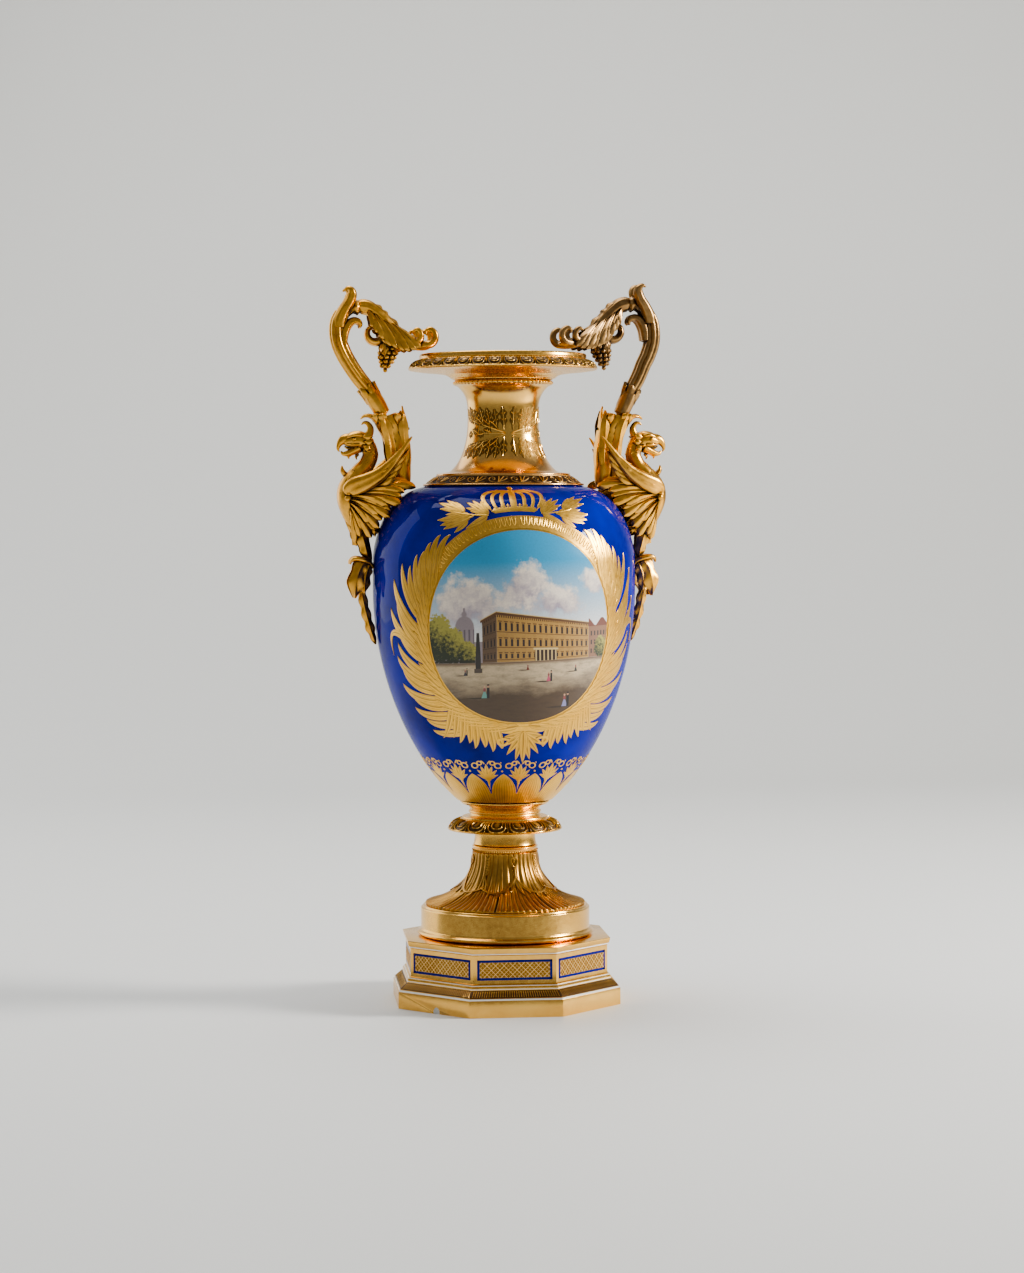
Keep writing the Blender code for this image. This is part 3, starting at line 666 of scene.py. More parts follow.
hangings = bmesh.new()
hung = partial(stroke, hangings, on_trumpet)
hung(((0.4, 15.5), (-7.5, 7.0), (-4.5, 1.0), (4.5, 1.0), (7.5, 7.0), (0.4, 15.5)), 1.0,
     shape=ribbon_width, lift=1.0, steps=26)
hung(((0, 5), (0, 7.5), (0, 10)), 1.5, lift=0.7, steps=8)
hung(((0, 15), (0.8, 21), (0.2, 28)), 1.25, shape=cord_width, lift=1.0, steps=20)
for *spine, half in (((0.5, 27), (2.5, 40), (7.5, 53), 3.0), ((-2, 30), (-5, 40), (-8, 47), 2.2),
                     ((3, 34), (9, 40), (13, 47), 2.0)):
    hung(spine, half, lift=0.8, vein=0.7)
for side in (-1, 1):
    swag = ((0.2, 27.5), (side * 9, 42), (side * 26, 60), (side * 43, 41))
    hung(swag, 1.35, shape=cord_width, lift=1.0, steps=44)
    for share in (0.35, 0.6, 0.82):                    # little sprigs on the cord
        u, v = bezier(swag, share)
        hung(((u, v), (u + side * 1, v + 4), (u + side * 3.5, v + 8)), 1.5, lift=0.9, steps=8)
for i in range(7):                                     # plaited ear
    v = 3.0 + 3.1 * i
    middle = float(np.interp(v, trumpet_runs, [r for r, _ in trumpet_line])) * EAR
    for side in (-1, 1):
        hung(((middle, v + 3.4), (middle + side * 1.6, v + 2.6), (middle + side * 3.1, v - 0.6)), 1.25,
             lift=0.9, steps=8)
for lean in (-3, 0, 3):                                # its tassel
    hung(((30.8, 24), (36 + lean, 33), (42 + 1.6 * lean, 42)), 0.8, lift=0.9, columns=3, shape=ribbon_width)
bmesh.ops.recalc_face_normals(hangings, faces=hangings.faces)
carried_round("foot_hangings", hangings, matt_gold, 4, FOOT_START)

bead_line = bmesh.new()
bmesh.ops.create_icosphere(bead_line, subdivisions=1, radius=1.25,
                           matrix=Matrix.Translation((36.9, 0.0, 172.4)))
carried_round("foot_beads", bead_line, matt_gold, 84)


# ======================================================================= knop
# The turned knop that joins foot and body: a ring under the vessel, a burnished waist, and a drooping
# flange moulded with egg-and-dart. Its smooth collar stands in the foot.
KNOP_REACH, _, KNOP_TOP = (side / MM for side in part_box("knop")[1])
KNOP_EGGS = 15
KNOP_START = -107.4


def egg_and_dart(across, share):
    """A low egg in two U-shaped frames that open inwards, with a dart between neighbours."""
    def u_frame(half, middle, low, width):
        down = max(share - middle, 0.0) / (low - middle)
        return ridge_of((abs(across / half) ** 2.6 + down ** 2.6) ** (1 / 2.6) - 1.0, width)

    egg = 0.55 * math.sqrt(max(1.0 - (across / 0.38) ** 2 - ((share - 0.38) / 0.34) ** 2, 0.0))
    dart = ridge_of(1.0 - abs(across), 0.085) if share > 0.08 else 0.0
    height = max(egg, u_frame(0.50, 0.40, 0.72, 0.17), u_frame(0.80, 0.50, 0.94, 0.12), 0.9 * dart)
    return (1.0 - height) * min(1.0, 7.0 * share, 9.0 * (1.0 - share))


def arched(start, end, sag, steps):
    """A bow whose points carry their share of the way, for relief."""
    return [(*point, i / steps) for i, point in enumerate(bow(start, end, sag, steps))]


knop_profile = softened([
    (24.0, 178.7), (24.0, KNOP_TOP), (48.8, KNOP_TOP), *bow((50.4, 229.6), (50.4, 226.8), 0.8, 6),
    (49.0, 225.6), *bow((48.6, 225.2), (40.3, 219.4), -2.0, 8), (39.8, 218.6), (40.9, 217.9),
    *bow((41.2, 217.6), (41.2, 215.6), 0.5, 4), (39.9, 214.8), *bow((39.9, 214.4), (47.6, 211.2), -1.6, 6),
    (48.9, 210.9), (49.3, 209.2)])
knop_profile += arched((50.0, 208.6), (KNOP_REACH, 197.0), 3.4, 30)
knop_profile += softened([(KNOP_REACH - 0.6, 195.9), (61.8, 195.2), (36.6, 195.0),
                          *bow((34.6, 193.4), (36.0, 178.9), -0.5, 6)])
moulded("knop", knop_profile, KNOP_EGGS, 32, egg_and_dart, 1.9, moulded_gold, KNOP_START, nodes=("knop",))


# ======================================================================= body
# The ovoid vessel, thrown in one with its shoulder, hollow and open above. Its ground is cobalt under a
# deep glossy glaze, which pooled a little unevenly and shows cloudy where it is thick.
BODY_RADIUS, _, BODY_TOP = (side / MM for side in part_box("body")[1])
BODY_RADIUS -= 0.3                         # the gilding stands that far off it
FLANK = (470.9, 268.9, 1.904, 0.614)       # height where it starts to narrow, length, and curvature
SHOULDER = (506.2, 86.7, 1.54, 0.179)
BODY_FLOOR = 238.0

# The vessel's wall from its rule: one sheet up the outside, over the rim and down the inside.
thrown, given, end = new_tree("thrown vessel", "GeometryNodeTree", {**dict.fromkeys((
    "Radius", "Wall", "Underside", "Floor", "Rim", "Flank Top", "Flank Length", "Shoulder Foot",
    "Shoulder Length"), "Float"), "Finish": "Material"}, {"Geometry": "Geometry"})
spot = laid(thrown, "ShaderNodeSeparateXYZ", (laid(thrown, "GeometryNodeInputPosition"),))
angle = spot["X"] * (2.0 * math.pi)
inside = spot["Y"].put("GREATER_THAN", 0.0005)
wall = inside * given["Wall"]
climb = 1.0 - abs(spot["Y"] * 2.0)
low = given["Underside"] + inside * (given["Floor"] - given["Underside"])
height = low + climb * (given["Rim"] - wall - low)
radius = given["Radius"] - wall
for rise, length, (*_, bend, power) in (
        (given["Flank Top"] - height, given["Flank Length"] - wall * 1.5, FLANK),
        (height - given["Shoulder Foot"], given["Shoulder Length"] - wall, SHOULDER)):
    radius *= (1.0 - (rise.put("MAXIMUM", 0.0) / length) ** bend) ** power
radius *= climb.put("GREATER_THAN", 0.0005)
place = laid(thrown, "ShaderNodeCombineXYZ", (radius * angle.put("COSINE"), radius * angle.put("SINE"), height))
sheet = laid(thrown, "GeometryNodeMeshGrid", {
    "Size X": 1.0, "Size Y": 1.0, "Vertices X": 193, "Vertices Y": 225})
coated(thrown, laid(thrown, "GeometryNodeSetPosition", {"Geometry": sheet, "Position": place}),
       given["Finish"], end)

cobalt_glaze = finish("cobalt glaze", (0.004, 0.014, 0.30), 0.10, more={
    "Specular IOR Level": 0.0, "Coat Weight": 0.48, "Coat IOR": 1.4, "Coat Roughness": 0.03})
place = laid(cobalt_glaze.node_tree, "ShaderNodeTexCoord", output="Object")
pooled = blended(ranged(mottle(place, 70.0, 2.0), 0.34, 0.66), (0.002, 0.0045, 0.18), (0.003, 0.012, 0.37))
streaked = ranged(mottle(place, 9.0), 0.35, 0.65) * 0.22
ripples = laid(cobalt_glaze.node_tree, "ShaderNodeBump", {
    "Distance": 0.10 * MM, "Height": mottle(place, 14.0, 1.0)})
fed(cobalt_glaze, {"Base Color": blended(streaked, pooled, (0.006, 0.022, 0.40)), "Normal": ripples})

sizes = {"Radius": BODY_RADIUS, "Wall": WALL, "Underside": KNOP_TOP + 0.3, "Floor": BODY_FLOOR,
         "Rim": BODY_TOP, "Flank Top": FLANK[0], "Flank Length": FLANK[1], "Shoulder Foot": SHOULDER[0],
         "Shoulder Length": SHOULDER[1]}
body = grown("body", thrown, {**{entry: size * MM for entry, size in sizes.items()}, "Finish": cobalt_glaze})
dressed(body, "body", slot="cobalt_glaze")

# The gilding on the glaze is laid out in millimetres on the wall unrolled: along the wall (u) and up it
# (v), from the middle of the medallion.
MEDALLION_HEIGHT = 432.0
MEDALLION_RADIUS = 110.0
PETALS = 15
PETAL_START = 2.7            # where the gap in front, with its anthemion, stands
LEAN = math.radians(2.0)     # the painter set the medallion a little aslant


def vessel_radius(height):
    """Radius of the glazed wall at a height."""
    low = np.clip((FLANK[0] - height) / FLANK[1], 0.0, 1.0)
    high = np.clip((height - SHOULDER[0]) / SHOULDER[1], 0.0, 1.0)
    return BODY_RADIUS * (1 - low ** FLANK[2]) ** FLANK[3] * (1 - high ** SHOULDER[2]) ** SHOULDER[3]


wall_heights = np.linspace(KNOP_TOP + 0.4, BODY_TOP - 0.1, 1500)
wall_radii = vessel_radius(wall_heights)
wall_runs = np.concatenate(([0.0], np.cumsum(np.hypot(np.diff(wall_heights), np.diff(wall_radii)))))
wall_runs -= np.interp(MEDALLION_HEIGHT, wall_heights, wall_runs)


def on_vessel(u, v, lift):
    """The place of a point of the unrolled wall, lifted off the glaze."""
    v = min(max(v, wall_runs[0] + 0.4), wall_runs[-1] - 0.4)
    (z, above), (r, beyond) = (np.interp((v, v + 0.3), wall_runs, table)
                               for table in (wall_heights, wall_radii))
    away = Vector((above - z, r - beyond)).normalized() * lift
    angle = u / r
    return ((r + away.x) * math.sin(angle), -(r + away.x) * math.cos(angle), z + away.y)


def on_front(u, v, lift):
    """The same, for what belongs to the medallion."""
    return on_vessel(u * math.cos(LEAN) - v * math.sin(LEAN), u * math.sin(LEAN) + v * math.cos(LEAN), lift)


def fallen(fall, reach, side=1.0):
    """A point by its angle down from the top of the medallion and its distance from the middle."""
    return side * reach * math.sin(math.radians(fall)), reach * math.cos(math.radians(fall))


leaf_gold = gilt("leaf gilding", (1.0, 0.63, 0.155), (0.88, 0.51, 0.10), 0.30, 0.46,
                 dirt_and_shade=(0.40, 0.20, 0.04), amount=0.85)

# Petals round the foot of the vessel, solid gold below, tooled upright.
PETAL_HALF = math.pi / PETALS
PETAL_TIP, PETAL_FORK = -178.8, -209.5
petals = bmesh.new()
rows = []
for i in range(19):
    v = wall_runs[0] + 0.5 + (PETAL_TIP - wall_runs[0]) * i / 18
    middle = np.interp(v, wall_runs, wall_radii) * PETAL_HALF
    up = max((v - PETAL_FORK) / (PETAL_TIP - PETAL_FORK), 0.0)
    half = middle * (max(1.0 - up ** 1.75, 0.0004) ** 0.76) * (0.955 if up > 0.03 else 1.0)
    rows.append([(half * across + middle, v, 0.2 + 0.12 * (1 - across ** 4), 0.0, across * 4.7)
                 for across in (j / 6 - 1 for j in range(13))])
plate(petals, rows, on_vessel)
carried_round("body_petals", petals, leaf_gold, PETALS, PETAL_START)

# An anthemion over each gap, and a looped ribbon with dots over each petal.
ANTHEMION_ROOT = -187.0
anthemia = bmesh.new()
drawn = partial(stroke, anthemia, on_vessel)
for lean, length, half in ((0, 23.0, 3.6), (22, 20.5, 3.0), (-22, 20.5, 3.0), (48, 18.0, 2.5),
                           (-48, 18.0, 2.5), (80, 14.5, 2.0), (-80, 14.5, 2.0)):
    turn = math.radians(lean)
    drawn(((0.0, ANTHEMION_ROOT),
           (0.55 * length * math.sin(turn * 0.6), ANTHEMION_ROOT + 0.5 * length * math.cos(turn * 0.6)),
           (0.86 * length * math.sin(turn), ANTHEMION_ROOT + length * math.cos(turn * 0.75))),
          half, lift=0.3 - abs(lean) * 0.002, vein=0.6, steps=10)
drawn(((0.0, -186.5), (0.0, -192.0), (0.0, -203.0)), 2.2, shape=lambda t: 1.0 - t, steps=6)
drawn(((-3.4, -187.4), (0.0, -188.2), (3.4, -187.4)), 0.7, shape=ribbon_width, steps=8, columns=3)
for side in (-1, 1):
    for x, y, size in ((13.3, -166.6, 3.5), (7.6, -163.0, 2.6)):
        for up in (-1.33, 1.33):
            loop = ((-1, 0), (-1, up), (1, up), (1, 0))
            drawn([(side * (x + over * size), y + rise * size) for over, rise in loop],
                  0.8, shape=lambda t: 1.0, columns=3)
    drawn(((side * 1.6, -164.6), (side * 3.4, -160.0), (side * 6.0, -159.8)), 0.7, shape=ribbon_width, steps=8,
          columns=3)
for u, v, size in ((17.2, -162.2, 0.9), (17.2, -174.6, 1.3)):
    drawn(((u - size, v), (u, v), (u + size, v)), size, shape=dot_width, steps=8)
bmesh.ops.recalc_face_normals(anthemia, faces=anthemia.faces)
carried_round("body_anthemia", anthemia, leaf_gold, PETALS, PETAL_START)

# The wreath: a flat gold ring, and over it engraved leaves that rise up both sides from a palmette below.
RING_WIDTH = 17.0
PALMETTE_ROOT = -124.0
wreath = bmesh.new()
rows = []
for i in range(181):
    fall = 2.0 * i
    down = -math.cos(math.radians(fall))
    spread = RING_WIDTH if down < 0 else RING_WIDTH - 3.0
    rows.append([(*fallen(fall, MEDALLION_RADIUS - 0.6 + share * (spread + 0.6)), 0.22 + 0.1 * (share == 0.1),
                  0.46 if share > 0.1 and down < 0.1 else 0.0, share * spread / 5.6 if share < 0.4 else 0.0)
                 for share in (0.0, 0.04, 0.1, 0.16, 0.28, 0.4, 1.0)])
rows[-1] = rows[0]
plate(wreath, rows, on_front)


def ring_leaf(side, points, half_width, vein=0.7, **manner):
    """A stroke on the wreath through points given by their angle down from its top and their reach."""
    stroke(wreath, on_front, [fallen(*point, side) for point in points], half_width, vein=vein, **manner)


for side in (-1, 1):
    leaf = partial(ring_leaf, side)
    for i in range(20):                                # arched tooling on the upper half of the ring
        fall = 2.4 + 2.75 * i
        leaf(((fall - 0.85, 126.2), (fall - 1.25, 111.6), (fall + 1.25, 111.6), (fall + 0.85, 126.2)), 0.55,
             vein=0.0, shape=ribbon_width, lift=0.26, columns=3)
    tips = ((36, 132), (40, 140), (46, 143), (51.5, 144), (55, 150), (61, 153), (62.5, 166), (70, 174),
            (77.5, 162), (81, 174), (86, 160), (94.5, 161), (99.6, 166), (105.4, 160), (111, 168),
            (117, 158), (123, 163), (131, 157), (137, 160))
    for order, (fall, reach) in enumerate(tips):       # flame-shaped leaves that stand out from the ring
        leaf(((fall + 25 - 0.03 * fall, 116), (fall + 14, 0.55 * reach + 54), (fall + 5, 0.78 * reach + 33),
              (fall, reach)), 4.6 + 0.024 * max(reach - 130, 0), lift=0.50 - 0.012 * order, steps=14, columns=7,
             lines=2.4)
    leaf(((104, 124), (92, 142), (84, 189), (99, 173)), 4.2, lift=0.5, steps=18, columns=7, lines=2.4)
    for i in range(22):                                # smaller leaves that lap over the ring
        fall = 47 + 5.3 * i
        leaf(((fall + 19, 113.5), (fall + 9, 119), (fall, 127 + 5 * math.sin(math.radians(fall)))), 4.6, 0.8,
             lift=0.72 - 0.008 * i, steps=10, lines=1.6)
    for fall, reach, length in ((143, 158, 8), (147, 150, 7), (151, 152, 7), (155, 147, 7), (158.5, 151, 7),
                                (162.5, 146, 7), (166.5, 149.5, 6), (170, 144, 5)):
        leaf(((fall - length, 116), (fall - 2.5, 132), (fall + 1.0, 0.5 * reach + 68), (fall + 0.6, reach)),
             4.4, lift=0.5, lines=1.8)
    leaf(((174, 132), (165, 128), (166, 142), (173, 143), (172.5, 134)), 1.5, vein=0.0, shape=ribbon_width,
         lift=0.85, steps=18, columns=3)
    for spread, length in ((13, 35), (34, 32), (57, 27), (82, 22)):      # the palmette
        turn = math.radians(spread)
        stroke(wreath, on_front, (
            (0.0, PALMETTE_ROOT),
            (side * 0.45 * length * math.sin(turn * 1.2), PALMETTE_ROOT - 0.45 * length * math.cos(turn)),
            (side * length * math.sin(turn), PALMETTE_ROOT - length * math.cos(turn))),
               4.4, lift=0.62 - 0.002 * spread, vein=0.8, lines=1.6)
stroke(wreath, on_front, ((0.0, -120.0), (0.0, -140.0), (0.0, -162.0)), 5.0, lift=0.8, vein=0.9,
       columns=7, lines=2.4)
closed_piece("body_wreath", wreath, leaf_gold)


# Crown and laurel over the ring. They stand a little to one side of its top.
CROWN_ASIDE = 2.4


def over_ring(u, v, lift):
    """A place on the front, from the middle line of the crown."""
    return on_front(u - CROWN_ASIDE, v, lift)


crown = bmesh.new()
drawn = partial(stroke, crown, over_ring, shape=ribbon_width)
bars = [((-26, 133), (-9, 136.5), (9, 136.5), (26, 133), 3.4), ((0, 134), (0, 150), (0, 171), 3.6),
        ((-4.6, 166), (0, 169), (4.6, 166), 1.6), ((-3.0, 177.0), (0, 177.4), (3.0, 177.0), 0.8),
        ((0, 171.5), (0, 176), (0, 180.5), 0.8)]
pearls = [(0, 173, 2.7)]
for side in (-1, 1):
    bars += [((side * 25, 134), (side * 45, 158), (side * 25, 171), (side * 2, 166), 2.2),
             ((side * 18.5, 134), (side * 29, 155), (side * 20, 167), (side * 2, 166), 1.9),
             ((side * 10.5, 135), (side * 15, 152), (side * 13, 165), (side * 1, 165.5), 2.0)]
    pearls += [(side * u, v, 1.7) for u, v in ((34, 147), (32.5, 157), (25, 164.5), (15, 168.3))]
for *spine, half in bars:
    drawn(spine, half, vein=0.35, steps=14)
for u in (-20.5, -13.5, -6.8, 0.0, 6.8, 13.5, 20.5):   # crosses on the band
    low = 138.6 - 0.006 * u * u
    drawn(((u - 2.1, low + 2.6), (u, low + 2.6), (u + 2.1, low + 2.6)), 0.8, steps=6, columns=3)
    drawn(((u, low - 1), (u, low + 2), (u, low + 5.2)), 0.8, steps=6, columns=3)
for u, v, size in pearls:
    drawn(((u - size, v), (u, v), (u + size, v)), size, shape=dot_width, steps=10, lift=0.4)
closed_piece("body_crown", crown, leaf_gold)

laurel = bmesh.new()
drawn = partial(stroke, laurel, over_ring)
for side in (-1, 1):
    for stem in (((29, 128.5), (44, 128), (68, 133)), ((46, 128.5), (56, 124), (62, 121))):
        drawn([(side * u, v) for u, v in stem], 0.9, shape=ribbon_width, columns=3, lift=0.45)
    for (u0, v0), ends in (((56, 134), ((67, 149), (77, 151.5), (88, 147.5), (87.5, 139), (80, 137))),
                           ((30, 129), ((37, 148), (46, 150), (53, 147), (55, 139), (50, 134))),
                           ((50, 129), ((80, 131), (91, 124.5), (88, 118), (84, 113.5))),
                           ((54, 123), ((71, 109), (62, 113))), ((31, 127.5), ((57, 113.5), (48, 118)))):
        for order, (u1, v1) in enumerate(ends):
            middle = (0.5 * (u0 + u1), 0.5 * (v0 + v1) + (1.5 if v1 > v0 else -1.5))
            half = 0.105 * math.dist((u0, v0), (u1, v1)) + 0.8
            drawn([(side * u, v) for u, v in ((u0, v0), middle, (u1, v1))], half,
                  vein=0.8, lift=0.3 + 0.03 * (order % 3), steps=10, lines=1.2)
closed_piece("body_laurel", laurel, leaf_gold)


# ======================================================================= medallion
# The painted medallion: enamel colours fired on a round of white ground, a generic town square under a
# summer sky, varnish-smooth. Distances on it are millimetres from its middle.
def painted(colour):
    """A pigment from the 0-255 values it shows in plain light; a mixed colour stays as it is."""
    return tuple((value / 255.0) ** 2.4 for value in colour) if isinstance(colour, tuple) else colour


enamel_painting = finish("enamel painting", roughness=0.30, more={"Coat Weight": 0.35, "Coat Roughness": 0.06})
canvas_point = laid(enamel_painting.node_tree, "ShaderNodeAttribute", output="Vector", attribute_name="canvas")
across = laid(enamel_painting.node_tree, "ShaderNodeSeparateXYZ", (canvas_point,))
upward = across["Y"]
coats = []                              # masks and colours, in the order in which they are laid


def lay(mask, *colour):
    """Paint a colour over the picture where the mask is."""
    coats.append((mask, painted(colour if len(colour) > 1 else colour[0])))


def mixed(share, first, second):
    return blended(share, painted(first), painted(second))


def brushed(size, stretch=(1.0, 1.0), seed=0.0):
    """Noise over the canvas with features of about this size."""
    scale, shift = (MM * stretch[0], MM * stretch[1], 0.0), (seed, 0.7 * seed, 0.0)
    moved = laid(enamel_painting.node_tree, "ShaderNodeVectorMath", (canvas_point, scale, shift),
                 operation="MULTIPLY_ADD")
    return mottle(moved, size, 5.0, 0.62)


def between(value, low, high, soft=0.22):
    return ranged(value, low - soft, low + soft) * ranged(value, high + soft, high - soft)


def patch(left, right, low, high, soft=0.22, y=upward):
    return between(across, left, right, soft) * between(y, low, high, soft)


def blob(x, y, wide, tall, soft=0.25):
    """An oval, as 1 inside and 0 outside; soft is the share of its size over which it fades."""
    dx, dy = (across - x) / wide, (upward - y) / tall
    return ranged((dx * dx + dy * dy).put("SQRT"), 1.0 + soft, 1.0 - soft)


def every(value, start, pitch):
    """The distance to the nearest of a row of places, signed."""
    return (value - start).put("WRAP", 0.5 * pitch, -0.5 * pitch)


# The sky, paler downwards, with heaped clouds.
HORIZON = -37.0
lay(ranged(upward, 74.0, -10.0), 238, 234, 230)
heap = brushed(34.0, seed=3.1) * 0.75 + brushed(9.0, seed=1.7) * 0.25
for x, y, wide, tall in ((-62, 34, 46, 34), (4, 48, 34, 30), (38, 28, 46, 22), (92, 50, 26, 18)):
    lay(ranged(blob(x, y, wide, tall, 0.75) * 0.62 + heap, 0.86, 0.99),
        mixed(ranged(heap + (upward - y) * 0.006, 0.34, 0.60), (180, 168, 182), (255, 243, 228)))

# A far domed church over roofs.
for mask in (blob(-66, 3, 11, 13, 0.05), patch(-77, -55, HORIZON, 3), patch(-67.2, -64.8, 13, 25),
             blob(-66, 18, 3, 3.4), patch(-110, -44, HORIZON, -13)):
    lay(mask, 160, 148, 152)
lay(patch(-77, -55, HORIZON, 1) * between(every(across, -66, 5.4), -1.0, 1.0), 120, 110, 118)

# The palace: its eaves fall away from the corner. Each front is its left and right end, its first window,
# their pitch and half width, and the colours of panes and trim.
bend = across + 30.0
eaves = (upward - HORIZON) / (1.10 - (bend * 0.0030).put("MAXIMUM", bend * -0.010)) + HORIZON
palace = partial(patch, y=eaves)
lay(palace(-30, 80, HORIZON, 14), mixed(brushed(5.0, seed=8.0), (206, 166, 96), (172, 132, 74)))
lay(palace(-46, -30, HORIZON, 14), 116, 92, 68)
for left, right, first, pitch, half, pane, trim in (
        (-30, 79, -26.0, 6.4, 1.25, (64, 48, 42), (116, 84, 52)),
        (-46, -31, -43.6, 3.7, 0.75, (58, 46, 42), (86, 66, 50))):
    for low, high in ((-4, 4.5), (-20, -12.5), (-33, -28)):
        window = every(across, first, pitch)
        lay(palace(left, right, low, high) * between(window, -half, half, 0.15), pane)
        lay(palace(left, right, high + 0.6, high + 1.7) * between(window, -1.7 * half, 1.7 * half, 0.15), trim)
        lay(palace(left, right, low - 1.7, low - 0.9), trim)
lay(palace(-47, 81, 9.4, 11.6) * between(every(across, 0, 2.4), -0.6, 0.6), 92, 66, 44)
lay(palace(-48, 82, 11.6, 15.0), 112, 80, 52)
lay(palace(-48.5, 82.5, 14.4, 15.4), 222, 196, 142)
lay(palace(12, 38, HORIZON, -23.5), 70, 52, 42)
lay(palace(12, 38, HORIZON, -24) * between(every(across, 13.5, 4.6), -0.8, 0.8), 220, 192, 136)
lay(palace(10.5, 39.5, -24, -21.6), 226, 200, 146)

# Darker houses at the far right, with gables.
lay(patch(80, 110, HORIZON, -1), 150, 112, 86)
lay(patch(80, 110, -2, 7) * ranged(upward - abs(every(across, 90, 22.0)), -1.4, -2.6), 126, 72, 56)
lay(patch(81, 110, HORIZON, -4) * between(every(across, 84, 5.0), -1.0, 1.0)
    * between(every(upward, -30, 10.0), -2.6, 2.6), 60, 48, 46)

# Trees, lit from the upper right.
leafage = brushed(3.6, seed=5.0)
for x, y, wide, tall in ((-97, -9, 17, 27), (-80, -17, 14, 20), (-63, -25, 11, 13), (99, -26, 10, 12)):
    sunlit = ranged(leafage + (across + upward - (x + y)) * 0.010, 0.38, 0.66)
    lay(ranged(blob(x, y, wide, tall, 0.45) + leafage, 0.92, 1.02), mixed(sunlit, (50, 60, 34), (178, 170, 88)))
lay(patch(-110, -54, HORIZON, -33.5, 0.8) * ranged(leafage, 0.30, 0.45), 52, 54, 34)

# The square, in shadow towards the viewer, with an obelisk and couples on a walk.
shadow = ranged(upward + brushed(30.0, (0.5, 1.0), 4.0) * 50.0, -52.0, -24.0)
pebbles = ranged(brushed(4.5, (0.35, 1.0), 2.0), 0.45, 0.70) * 0.42
lay(ranged(upward, HORIZON + 0.4, HORIZON - 0.4),
    mixed(pebbles, mixed(shadow, (98, 80, 62), (210, 190, 158)), (80, 66, 54)))
lay(ranged(upward, HORIZON + 0.3, HORIZON - 0.3) * ranged(upward, HORIZON - 4.5, HORIZON - 1.0), 128, 106, 84)
lay(patch(-54, -48, -46, -3, 0.3) * ranged(abs(across + 51.0) + upward * 0.05, 1.5, 1.2), 62, 58, 54)
lay(patch(-55.5, -46.5, -48.5, -43.5), 96, 84, 74)
for x, y, size, dress, pair in ((-44, -70, 1.25, (120, 170, 160), True), (28, -55, 0.95, (196, 96, 120), True),
                                (62, -47, 0.7, (70, 70, 66), False), (4, -43, 0.6, (130, 60, 50), False),
                                (-66, -47, 0.65, (74, 70, 80), True), (48, -84, 1.3, (150, 150, 190), True)):
    hem = y - 6.5 * size
    lay(blob(x - 7 * size, y - 6.6 * size, 9 * size, 0.8 * size, 0.4), 74, 62, 50)
    skirt = abs(across - x) + (upward - hem) * 0.32
    lay(between(upward, hem, y + 0.5 * size) * ranged(skirt, 3.0 * size, 2.7 * size), dress)
    lay(blob(x, y + 1.4 * size, 1.2 * size, 1.9 * size), 150, 84, 84)
    lay(blob(x, y + 4.0 * size, 0.9 * size, 1.0 * size), 206, 164, 136)
    if pair:
        lay(patch(x + 2.0 * size, x + 4.4 * size, y - 6.6 * size, y + 3.4 * size), 48, 46, 46)
        lay(blob(x + 3.2 * size, y + 4.6 * size, 0.9 * size, 1.1 * size), 196, 152, 124)
        lay(patch(x + 2.2 * size, x + 4.2 * size, y + 5.2 * size, y + 6.6 * size), 48, 46, 46)
lay(ranged(brushed(2.2, seed=9.0), 0.40, 0.75) * 0.14, 70, 62, 60)
picture = painted((78, 172, 216))
for mask, colour in coats:
    picture = blended(mask, picture, colour)
fed(enamel_painting, {"Base Color": picture})

# Its thin round plate: rings of points from the middle out over the front, and back underneath.
SECTORS = 120
medallion = bmesh.new()
canvas = medallion.verts.layers.float_vector.new("canvas")
reaches = [*np.linspace(MEDALLION_RADIUS + 0.3, 5.0, 22), 0.0]
rings = []
for lift, order in ((0.14, reaches[::-1]), (-0.15, reaches)):
    for reach in order:
        rings.append([])
        for k in range(SECTORS if reach else 1):
            spot = fallen(360.0 / SECTORS * k, reach)
            rings[-1].append(medallion.verts.new(on_front(*spot, lift)))
            rings[-1][-1][canvas] = (*spot, 0.0)
hooped(medallion, rings)
closed_piece("medallion", medallion, enamel_painting, slot="cobalt_glaze")


# ======================================================================= neck
# A flared porcelain neck, burnished, with a ribbed ring under the mouth and a tooled frieze where it
# sits on the shoulder. Sprays of oak are left matt in the burnished ground.
(_, _, NECK_FOOT), (NECK_FLANGE, _, NECK_TOP) = (
    [side / MM for side in corner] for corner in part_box("neck"))
WAIST_RADIUS, WAIST_HEIGHT = 40.9, 670.0
NECK_RIBS = 60
FRIEZE_REPEATS = 21


def throat(height):
    """Radius of the neck at a height."""
    if height > WAIST_HEIGHT:
        return WAIST_RADIUS + 9.7 * ((height - WAIST_HEIGHT) / 32.7) ** 3.4
    down = (WAIST_HEIGHT - height) / 64.0
    return WAIST_RADIUS + 18.0 * down ** 2.5 + 3.8 * down ** 12


neck_profile = [(36.0, NECK_TOP), (54.6, NECK_TOP), (54.6, 705.4)]
neck_profile += [(throat(z), z) for z in np.linspace(704.4, 606.0, 60)]
neck_profile += softened([
    (75.2, 604.2), *bow((76.6, 604.0), (76.8, 602.0), 0.4, 5), (76.6, 599.8), (88.0, 591.6),
    *bow((NECK_FLANGE - 1.0, 592.6), (NECK_FLANGE - 0.6, NECK_FOOT + 0.4), 0.6, 6),
    (NECK_FLANGE - 1.0, NECK_FOOT)])
neck_profile += [(56.0, NECK_FOOT), (50.0, 606.0)]
neck_profile += [(throat(z) - WALL, z) for z in np.linspace(628.0, 690.0, 12)]

